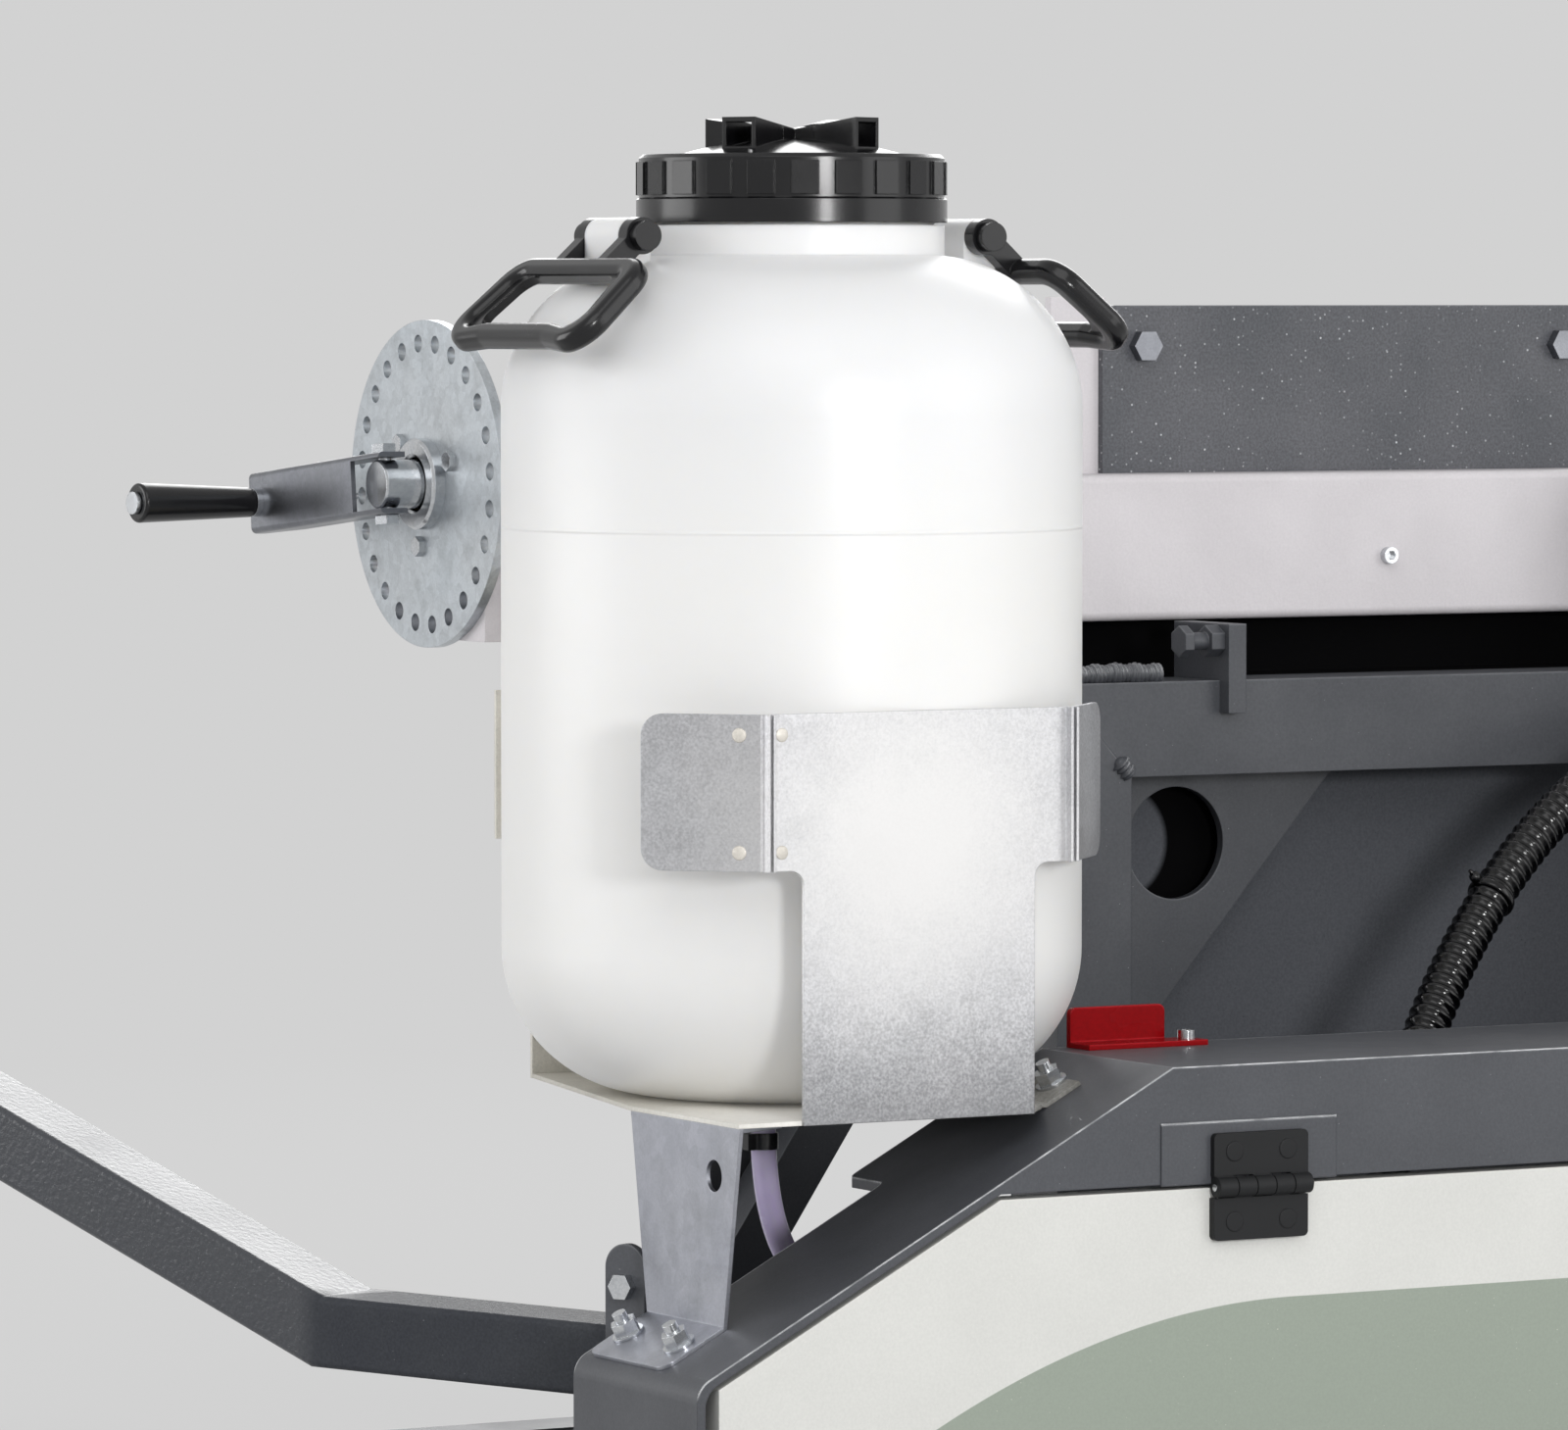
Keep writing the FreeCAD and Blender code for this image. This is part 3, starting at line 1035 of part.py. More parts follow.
def make_door():
    """Build the folded cover door, and the two hinges that carry it from the apron."""
    deep = RAIL_FRONT + DOOR_DEPTH
    door = prism_xz(door_outline(0), RAIL_FRONT, deep)
    door = door.cut(prism_xz(door_outline(DOOR_T), RAIL_FRONT + DOOR_T, deep))
    save(door, "cover_door")
    pin_y = RAIL_FRONT - HINGE_STAND
    pin_z = DECK_Z - APRON_H - DOOR_GAP + 0.5
    leaf_t = 5.0
    step = HINGE_W / KNUCKLES
    gap = 0.3
    clear = KNUCKLE_R + 0.5
    ahead = V(1, 0, 0)
    frame_leaves = []
    door_leaves = []
    pins = []
    for x in HINGE_X:
        for group, side, own in ((frame_leaves, 1, 0), (door_leaves, -1, 1)):
            near = pin_z + side * clear
            far = pin_z + side * HINGE_LEAF
            leaf = box(x, x + HINGE_W, RAIL_FRONT - leaf_t, RAIL_FRONT, min(near, far), max(near, far))
            leaf = round_edges(leaf, 3.0, lambda m, d, far=far: abs(d.y) > 0.9 and abs(m.z - far) < 0.1)
            for i in range(own, KNUCKLES, 2):
                x0 = x + i * step + gap
                width = step - 2 * gap
                link = box(x0, x0 + width, pin_y, RAIL_FRONT - gap, min(pin_z, near), max(pin_z, near))
                leaf = leaf.fuse(rod(V(x0, pin_y, pin_z), ahead, KNUCKLE_R, width)).fuse(link)
            leaf = leaf.cut(rod(V(x, pin_y, pin_z), ahead, HINGE_PIN_R + RUN_FIT, HINGE_W))
            group.append(leaf.removeSplitter())
        pins.append(rod(V(x - 0.5, pin_y, pin_z), ahead, HINGE_PIN_R, HINGE_W + 1.0))
    save(Part.makeCompound(frame_leaves), "hinge_frame_leaves")
    save(Part.makeCompound(door_leaves), "hinge_door_leaves")
    save(Part.makeCompound(pins), "hinge_pins")


def strip_outline(line, width):
    """Return the outline of a band of even width along a bent centre line, mitred at its bends."""
    left = []
    right = []
    for i, (x, z) in enumerate(line):
        headings = []
        if i > 0:
            headings.append(math.atan2(z - line[i - 1][1], x - line[i - 1][0]))
        if i < len(line) - 1:
            headings.append(math.atan2(line[i + 1][1] - z, line[i + 1][0] - x))
        mean = sum(math.sin(h) for h in headings), sum(math.cos(h) for h in headings)
        heading = math.atan2(*mean)
        half = width / 2 / math.cos(heading - headings[0])
        side = (-math.sin(heading) * half, math.cos(heading) * half)
        left.append((x + side[0], z + side[1]))
        right.append((x - side[0], z - side[1]))
    return left + right[::-1]


def arm_place(shape):
    """Move a piece drawn along -X from the clevis to its place on the machine."""
    placed = shape.copy()
    placed.rotate(V(0, 0, 0), V(0, 0, 1), ARM_TURN)
    placed.translate(ARM_AT)
    return placed


def make_arm():
    """Build the support arm, its end plug, the clevis that holds it, and its bolts."""
    half = ARM_W / 2
    tip_x, tip_z = ARM_LINE[-1]
    bend_x, bend_z = ARM_LINE[-2]
    arm = prism_xz(strip_outline(ARM_LINE, ARM_H), -half, half)

    def long_edge(middle, run):
        inside = tip_x + 25.0 < middle.x < ARM_LINE[0][0] - 25.0
        return abs(run.y) < 0.1 and abs(abs(middle.y) - half) < 0.1 and inside

    arm = round_edges(arm, 4.0, long_edge)
    arm = arm.cut(prism_xz(strip_outline(ARM_LINE, ARM_H - 2 * ARM_T), ARM_T - half, half - ARM_T))
    plug_y = half - ARM_T - 0.2
    plug_z = ARM_H / 2 - ARM_T - 0.2
    plug = box(0, 24.0, -plug_y, plug_y, -plug_z, plug_z)
    plug = plug.fuse(box(-4.0, 0, -half, half, -ARM_H / 2, ARM_H / 2))
    plug.rotate(V(0, 0, 0), V(0, 1, 0), math.degrees(math.atan2(tip_z - bend_z, bend_x - tip_x)))
    plug.translate(V(tip_x, 0, tip_z))
    save(arm_place(plug.removeSplitter()), "arm_cap")
    cheek_t = 5.0
    gap = 1.0
    across = V(0, 1, 0)
    x0, x1 = ARM_CHEEK
    round_r = (x1 - x0) / 2
    top = ARM_BOLTS_Z[0] + 10.0
    floor = BASE_H + PAN_T
    outer = half + gap + cheek_t
    bracket = box(x0, x1, -outer, outer, floor, floor + cheek_t)
    for y in (-outer, outer - cheek_t):
        cheek = box(x0, x1, y, y + cheek_t, floor, top)
        bracket = bracket.fuse(cheek).fuse(rod(V((x0 + x1) / 2, y, top), across, round_r, cheek_t))
    bolts = []
    for z in ARM_BOLTS_Z:
        seat = V((x0 + x1) / 2, -outer, z)
        hole = rod(seat - across, across, 4.1, 2 * outer + 2.0)
        bracket = bracket.cut(hole)
        arm = arm.cut(hole)
        bolts.append(arm_place(bolt(seat, across * -1, M8_R, M8_FLATS, 5.5, 2 * outer + 10.0)))
    save(arm_place(arm), "support_arm")
    save(arm_place(bracket.removeSplitter()), "arm_bracket")
    save(Part.makeCompound(bolts), "arm_bolts")


def stations(edges, spacing):
    """Return points and headings evenly spaced along joined edges."""
    total = sum(e.Length for e in edges)
    count = int(total // spacing)
    places = []
    for i in range(count + 1):
        left = total * i / count
        for edge in edges:
            if left <= edge.Length + 1e-6:
                at = edge.getParameterByLength(min(left, edge.Length))
                places.append((edge.valueAt(at), edge.tangentAt(at)))
                break
            left -= edge.Length
    return places


def make_conduit():
    """Build the ribbed cable conduit that comes down from the bulkhead to the pump motor."""
    points = [tank_point(p.x, p.y, p.z) for p in CONDUIT_ROUTE]
    edges = rounded_path(points, "conduit")
    quarter = CONDUIT_PITCH / 4
    circles = []
    for i, (place, heading) in enumerate(stations(edges, quarter)):
        radius = CONDUIT_R if i % 4 in (2, 3) else CONDUIT_ROOT_R
        circles.append(Part.Wire([Part.Circle(place, heading, radius).toShape()]))
    tube = Part.makeLoft(circles, True, True)
    conduit = tube.cut(tube_along(edges, CONDUIT_BORE_R))
    print("conduit ribs", len(circles) // 4, "valid", conduit.isValid(), "volume", round(conduit.Volume))
    save(conduit, "conduit")


def main():
    """Build every piece of the end unit."""
    os.makedirs("parts", exist_ok=True)
    make_tank()
    make_lid()
    make_handles()
    make_outlet()
    make_hose()
    make_pump()
    make_tray()
    make_brackets()
    make_leg()
    make_cradle_fasteners()
    make_index_disc()
    make_shaft()
    make_lever()
    make_base()
    make_front_rail()
    make_upper_frame()
    make_beam()
    make_stops()
    make_door()
    make_arm()
    make_conduit()


main()
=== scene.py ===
"""Studio scene for the coolant and index end of a wet grinding sharpener.

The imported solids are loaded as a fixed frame. Each sub-assembly is a class that dresses its solids,
lays its hose or conduit, and adds the small fittings that the solids leave out.
"""

import logging
import math
from dataclasses import dataclass, field
from enum import Enum
from typing import Any

import bmesh
import bpy
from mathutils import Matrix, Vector

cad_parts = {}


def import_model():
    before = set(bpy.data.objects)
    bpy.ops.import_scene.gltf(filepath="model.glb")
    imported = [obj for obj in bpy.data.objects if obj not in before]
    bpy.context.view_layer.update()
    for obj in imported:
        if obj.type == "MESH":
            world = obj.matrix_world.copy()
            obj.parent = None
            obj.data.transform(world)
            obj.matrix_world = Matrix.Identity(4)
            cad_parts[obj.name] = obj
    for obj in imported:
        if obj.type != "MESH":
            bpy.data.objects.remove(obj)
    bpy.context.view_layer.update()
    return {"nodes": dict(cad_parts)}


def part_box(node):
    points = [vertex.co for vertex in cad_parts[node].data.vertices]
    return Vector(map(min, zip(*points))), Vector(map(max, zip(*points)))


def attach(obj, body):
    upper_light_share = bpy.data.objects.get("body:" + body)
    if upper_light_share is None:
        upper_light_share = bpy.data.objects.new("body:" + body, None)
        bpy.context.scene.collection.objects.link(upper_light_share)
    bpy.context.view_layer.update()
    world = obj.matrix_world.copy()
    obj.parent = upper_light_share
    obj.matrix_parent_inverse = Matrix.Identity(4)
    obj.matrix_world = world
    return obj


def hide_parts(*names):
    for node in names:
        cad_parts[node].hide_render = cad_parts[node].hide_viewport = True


Tree = bpy.types.NodeTree
Socket = bpy.types.NodeSocket
Material = bpy.types.Material
Mesh = bmesh.types.BMesh
Nodes = dict[str, bpy.types.Object]
Triple = tuple[float, float, float]
Pair = tuple[float, float]
Places = list[tuple[Vector, Vector]]

LOG = logging.getLogger("sharpener_end")
MM = 0.001
TINY = 1e-9
PHOTO_WIDTH = 1600
TANK_AXIS = Vector((-0.261, -0.028, 0.245))
FRONT = Vector((0, -1, 0))
SMOOTH = "SMOOTHSTEP"
MULTIPLY = "MULTIPLY"

# Noise seldom leaves these limits, so a ramp between them uses its whole run
NARROW = (0.35, 0.65)
BROAD = (0.30, 0.70)


def linear(code: str) -> tuple[float, float, float, float]:
    """Turn an sRGB hex colour into linear light.

    Args:
        code: A colour such as "#A1B2C3".

    Returns:
        Red, green, blue and an alpha of one.
    """
    parts = [int(code[i:i + 2], 16) / 255 for i in (1, 3, 5)]
    red, green, blue = (c / 12.92 if c <= 0.04045 else ((c + 0.055) / 1.055) ** 2.4 for c in parts)
    return red, green, blue, 1.0


def per_mm(size: float) -> float:
    """Return the texture scale, per metre, that gives features of a size in millimetres."""
    return 1.0 / (size * MM)


def add_node(tree: Tree, kind: str, inputs: dict[Any, Any] | None = None, **settings: Any) -> bpy.types.Node:
    """Add a node, set its properties, and fill or link its inputs.

    Args:
        tree: The node tree that takes the node.
        kind: The node's type name, without the ShaderNode prefix.
        inputs: Socket name or index to a value, or to the output socket that feeds it.
        **settings: Node properties to set.

    Returns:
        The new node.
    """
    node = tree.nodes.new("ShaderNode" + kind)
    for name, value in settings.items():
        setattr(node, name, value)
    for key, value in (inputs or {}).items():
        if isinstance(value, Socket):
            tree.links.new(value, node.inputs[key])
        else:
            node.inputs[key].default_value = value
    return node


def maths(tree: Tree, operation: str, *values: Any) -> Socket:
    """Return the result of one sum on sockets or numbers."""
    return add_node(tree, "Math", dict(enumerate(values)), operation=operation).outputs[0]


def ramp(tree: Tree, value: Socket, start: float, end: float, low: float = 0.0, high: float = 1.0,
         ease: str = "LINEAR") -> Socket:
    """Map a value's run onto another, held level beyond both ends.

    Args:
        tree: The node tree.
        value: The value to map.
        start: The value that gives low.
        end: The value that gives high.
        low: The result at the start.
        high: The result at the end.
        ease: How the result runs in between.

    Returns:
        The mapped value.
    """
    ends = {0: value, 1: start, 2: end, 3: low, 4: high}
    return add_node(tree, "MapRange", ends, interpolation_type=ease).outputs[0]


def blend(tree: Tree, share: Any, first: Any, second: Any, mode: str = "MIX") -> Socket:
    """Return a second colour laid over a first one by a share."""
    parts = {0: share, 6: first, 7: second}
    return add_node(tree, "Mix", parts, data_type="RGBA", blend_type=mode).outputs[2]


def noise(tree: Tree, where: Socket, size_mm: float, detail: float, roughness: float = 0.5) -> Socket:
    """Return drifting noise with features of a size in millimetres."""
    look = {"Vector": where, "Scale": per_mm(size_mm), "Detail": detail, "Roughness": roughness}
    return add_node(tree, "TexNoise", look).outputs[0]


def axis_of(tree: Tree, where: Socket, axis: int) -> Socket:
    """Return one coordinate of a place or direction."""
    return add_node(tree, "SeparateXYZ", {0: where}).outputs[axis]


def distance_to(tree: Tree, where: Socket, point: Triple) -> Socket:
    """Return how far a place is from a point, in metres."""
    return add_node(tree, "VectorMath", {0: where, 1: point}, operation="DISTANCE").outputs["Value"]


def backdrop_rays(tree: Tree) -> Socket:
    """Return one for the rays that show the backdrop: from the camera, off gloss, or through a clear wall."""
    ray = add_node(tree, "LightPath")
    seen = maths(tree, "MAXIMUM", ray.outputs["Is Camera Ray"], ray.outputs["Is Glossy Ray"])
    return maths(tree, "MAXIMUM", seen, ray.outputs["Is Transmission Ray"])


class Slot(Enum):
    """The record's material slots."""

    TANK = "tank_plastic"
    BLACK = "black_plastic"
    SEAL = "seal_rubber"
    HOSE = "hose_pvc"
    PUMP = "pump_iron"
    MOTOR = "motor_paint"
    GALVANISED = "galvanised"
    ZINC = "zinc"
    DISC = "disc_zinc"
    BRONZE = "bronze"
    DARK = "dark_paint"
    PALE = "pale_paint"
    CREAM = "cream_paint"
    RED = "red_paint"
    HINGE = "hinge_plastic"
    CONDUIT = "conduit_plastic"


@dataclass(frozen=True)
class Finish:
    """A surface finish: two tones that drift into each other, a fine grain, and softened edges."""

    name: str
    colour: str
    shade: str
    roughness: float
    swing: float = 0.06
    metallic: float = 0.0
    mottle_mm: float = 60.0
    grain_mm: float = 1.2
    grain_depth_mm: float = 0.03
    edge_mm: float = 0.8

    def build(self) -> Material:
        """Return the finished material."""
        material = bpy.data.materials.new(self.name)
        material.use_nodes = True
        tree = material.node_tree
        tree.nodes.clear()
        where = add_node(tree, "TexCoord").outputs["Object"]
        drift = noise(tree, where, self.mottle_mm, 4.0)
        tone = blend(tree, ramp(tree, drift, *NARROW), linear(self.colour), linear(self.shade))
        rough = ramp(tree, drift, *BROAD, self.roughness - self.swing, self.roughness + self.swing)
        soft = add_node(tree, "Bevel", {"Radius": self.edge_mm * MM}, samples=4)
        bump = add_node(tree, "Bump", {"Strength": 1.0, "Distance": self.grain_depth_mm * MM,
                                       "Height": self.relief(tree, where), "Normal": soft.outputs[0]})
        skin = {"Base Color": self.tint(tree, where, tone), "Roughness": rough, "Metallic": self.metallic,
                "Normal": bump.outputs[0]}
        shader = add_node(tree, "BsdfPrincipled", skin)
        self.polish(shader)
        out = add_node(tree, "OutputMaterial", {"Surface": self.surface(tree, shader.outputs[0])})
        out.is_active_output = True
        return material

    def relief(self, tree: Tree, where: Socket) -> Socket:
        """Return the height that the fine grain is raised by."""
        return noise(tree, where, self.grain_mm, 3.0)

    def tint(self, tree: Tree, where: Socket, tone: Socket) -> Socket:
        """Return the base colour; a plain finish keeps its two tones."""
        return tone

    def polish(self, shader: bpy.types.Node) -> None:
        """Set the shader's other sockets; a plain finish leaves them."""

    def surface(self, tree: Tree, skin: Socket) -> Socket:
        """Return what the surface shows; a plain finish shows its skin."""
        return skin


@dataclass(frozen=True)
class TranslucentPolymer(Finish):
    """Polymer that light passes into; the defaults suit extruded clear PVC with a violet tint."""

    scatter: float = 0.45
    scatter_mm: float = 6.0
    scatter_tint: Triple = (0.8, 0.6, 1.0)
    index: float = 1.53

    def polish(self, shader: bpy.types.Node) -> None:
        """Let light scatter a few millimetres into the wall."""
        shader.inputs["Subsurface Weight"].default_value = self.scatter
        shader.inputs["Subsurface Radius"].default_value = self.scatter_tint
        shader.inputs["Subsurface Scale"].default_value = self.scatter_mm * MM
        shader.inputs["IOR"].default_value = self.index


@dataclass(frozen=True)
class NaturalPolyethylene(TranslucentPolymer):
    """Blow moulded natural HDPE: milky, light passes into it, and a mould line runs round the drum."""

    scatter: float = 0.35
    scatter_mm: float = 9.0
    scatter_tint: Triple = (1.0, 0.9, 0.75)
    index: float = 1.54
    # Painted light: the grey of the drum above its mould line, standing in for the light that comes through
    upper_painted_light: str = "#EBEBEB"
    line_z: float = 0.557
    line_mm: float = 1.4
    line_rise: float = 1.5
    fade_mm: Pair = (50.0, 100.0)
    through: float = 0.6

    def tint(self, tree: Tree, where: Socket, tone: Socket) -> Socket:
        """Paint the drum above its mould line in another grey, as painted light for the light that comes through
        where it is empty.
        """
        start = self.line_z - self.fade_mm[0] * MM
        end = self.line_z + self.fade_mm[1] * MM
        upper_light_share = ramp(tree, axis_of(tree, where, 2), start, end, ease=SMOOTH)
        return blend(tree, upper_light_share, tone, linear(self.upper_painted_light))

    def relief(self, tree: Tree, where: Socket) -> Socket:
        """Add the raised mould line to the soft waviness of a blown wall."""
        wave = super().relief(tree, where)
        away = maths(tree, "SUBTRACT", axis_of(tree, where, 2), self.line_z)
        ridge = ramp(tree, maths(tree, "ABSOLUTE", away), 0.0, self.line_mm * MM, self.line_rise, 0.0, SMOOTH)
        return maths(tree, "ADD", wave, ridge)

    def surface(self, tree: Tree, skin: Socket) -> Socket:
        """Let part of the lamps' light through the wall, so that the shade under the drum stays pale."""
        ray = add_node(tree, "LightPath")
        share = maths(tree, MULTIPLY, ray.outputs["Is Shadow Ray"], self.through)
        clear = add_node(tree, "BsdfTransparent").outputs[0]
        return add_node(tree, "MixShader", {0: share, 1: skin, 2: clear}).outputs[0]


@dataclass(frozen=True)
class MouldedPlastic(Finish):
    """Injection moulded polymer: even colour, a fine spark grain, and a clear highlight."""

    specular: float = 0.35
    coat: float = 0.0
    coat_roughness: float = 0.12

    def polish(self, shader: bpy.types.Node) -> None:
        """Set how much the moulded skin shines."""
        shader.inputs["Specular IOR Level"].default_value = self.specular
        shader.inputs["Coat Weight"].default_value = self.coat
        shader.inputs["Coat Roughness"].default_value = self.coat_roughness


@dataclass(frozen=True)
class PowderCoat(Finish):
    """Baked powder paint: an orange peel skin, stray pale specks, and edges that face up painted lighter, partly
    as wear and partly as painted highlight.
    """

    speck: str = "#9C9EA2"
    speck_mm: float = 3.0
    speck_share: float = 0.12
    speck_from: float = 0.80
    speck_drift_mm: float = 38.0
    speck_least: float = 0.25
    fleck: float = 0.10
    fleck_mm: float = 1.6
    # Edges that face up take this colour: partly wear, partly painted highlight
    edge_wear_and_highlight: str = "#8A8C90"
    edge_wear_and_highlight_share: float = 0.5
    edge_mark_mm: float = 2.0
    edge_mark_lean: Pair = (0.985, 0.90)
    edge_mark_rise: Pair = (0.10, 0.35)
    patch_mm: float = 14.0
    patch: Pair = (0.30, 0.55)
    patch_least: float = 0.35
    specular: float = 0.5

    def tint(self, tree: Tree, where: Socket, tone: Socket) -> Socket:
        """Dust the paint, scatter specks over it, and paint it lighter along its upper edges, partly as wear and
        partly as painted highlight.
        """
        powder = noise(tree, where, self.fleck_mm, 2.0)
        dust = ramp(tree, powder, *BROAD, 1.0 - self.fleck, 1.0 + self.fleck)
        dusted = blend(tree, 1.0, tone, dust, MULTIPLY)
        specked = blend(tree, self.specks(tree, where), dusted, linear(self.speck))
        return blend(tree, self.edge_wear_and_highlight_cover(tree, where), specked, linear(self.edge_wear_and_highlight))

    def specks(self, tree: Tree, where: Socket) -> Socket:
        """Return how far a stray speck covers the paint; they gather in drifts."""
        cells = add_node(tree, "TexVoronoi", {"Vector": where, "Scale": per_mm(self.speck_mm)})
        dot = ramp(tree, cells.outputs["Distance"], self.speck_share, self.speck_share * 0.5)
        choice = add_node(tree, "SeparateColor", {0: cells.outputs["Color"]}).outputs[0]
        some = maths(tree, MULTIPLY, dot, ramp(tree, choice, self.speck_from, 1.0))
        drift = noise(tree, where, self.speck_drift_mm, 2.0)
        return maths(tree, MULTIPLY, some, ramp(tree, drift, *NARROW, self.speck_least))

    def edge_wear_and_highlight_cover(self, tree: Tree, where: Socket) -> Socket:
        """Return how far the paint is painted lighter, in broken patches along edges that look up: partly rubbed
        through, partly painted highlight.
        """
        wide = add_node(tree, "Bevel", {"Radius": self.edge_mark_mm * MM}, samples=6).outputs[0]
        flat = add_node(tree, "NewGeometry").outputs["Normal"]
        lean = add_node(tree, "VectorMath", {0: wide, 1: flat}, operation="DOT_PRODUCT").outputs["Value"]
        edge = ramp(tree, lean, *self.edge_mark_lean, 0.0, self.edge_wear_and_highlight_share)
        rubbed_and_lit = maths(tree, MULTIPLY, edge, ramp(tree, axis_of(tree, wide, 2), *self.edge_mark_rise))
        patchy = noise(tree, where, self.patch_mm, 3.0)
        return maths(tree, MULTIPLY, rubbed_and_lit, ramp(tree, patchy, *self.patch, self.patch_least))

    def polish(self, shader: bpy.types.Node) -> None:
        """Set how much the resin shines."""
        shader.inputs["Specular IOR Level"].default_value = self.specular


@dataclass(frozen=True)
class ScuffedGloss(PowderCoat):
    """Glossy powder paint on a bent bar, whose near run is scuffed matt."""

    fold_y: float = 0.143
    fade_mm: float = 12.0
    matt: float = 0.02

    def polish(self, shader: bpy.types.Node) -> None:
        """Take the shine off the run in front of the fold."""
        tree = shader.id_data
        along = axis_of(tree, add_node(tree, "TexCoord").outputs["Object"], 1)
        shine = ramp(tree, along, self.fold_y - self.fade_mm * MM, self.fold_y, self.matt, self.specular)
        tree.links.new(shine, shader.inputs["Specular IOR Level"])


@dataclass(frozen=True)
class TwoTonePaint(PowderCoat):
    """Powder paint in two colours that meet along a level line, which can curve down at its left end."""

    lower: str = "#9BA59A"
    split_z: float = 0.132
    border_mm: float = 0.4
    bend_x: float = -9.0
    bend: float = 0.0

    def tint(self, tree: Tree, where: Socket, tone: Socket) -> Socket:
        """Paint the lower part in the second colour."""
        left = maths(tree, "MAXIMUM", maths(tree, "SUBTRACT", self.bend_x, axis_of(tree, where, 0)), 0.0)
        square = maths(tree, MULTIPLY, left, left)
        height = maths(tree, "MULTIPLY_ADD", square, self.bend, axis_of(tree, where, 2))
        below = ramp(tree, height, self.split_z, self.split_z - self.border_mm * MM)
        return super().tint(tree, where, blend(tree, below, tone, linear(self.lower)))


@dataclass(frozen=True)
class PanelPaintWithPaintedShade(TwoTonePaint):
    """Two tone paint behind a holed plate, with a painted shadow round one round lit spot that shows through the
    plate's hole.
    """

    # Painted shadow: the colour round the lit spot
    painted_hole_shadow: str = "#050506"
    hole_shadow_at: Triple = (0.0, 0.0, 0.0)
    hole_shadow_mm: float = 38.0
    hole_shadow_depths_mm: Pair = (1.0, 0.8)
    lit_spot_at: Triple = (0.0, 0.0, 0.0)
    lit_spot_mm: float = 33.0
    blur_mm: float = 4.0

    def tint(self, tree: Tree, where: Socket, tone: Socket) -> Socket:
        """Paint a near black shadow round the lit spot, on the sheet's front only."""
        painted = super().tint(tree, where, tone)
        away = distance_to(tree, where, self.hole_shadow_at)
        hidden = ramp(tree, away, (self.hole_shadow_mm + self.blur_mm) * MM, self.hole_shadow_mm * MM)
        aside = distance_to(tree, where, self.lit_spot_at)
        half = self.blur_mm / 2
        outside_lit_spot = ramp(tree, aside, (self.lit_spot_mm - half) * MM, (self.lit_spot_mm + half) * MM)
        ends = [self.hole_shadow_at[1] + depth * MM for depth in self.hole_shadow_depths_mm]
        facing = ramp(tree, axis_of(tree, where, 1), *ends)
        painted_hole_shadow = maths(tree, MULTIPLY, maths(tree, MULTIPLY, hidden, outside_lit_spot), facing)
        return blend(tree, painted_hole_shadow, painted, linear(self.painted_hole_shadow))


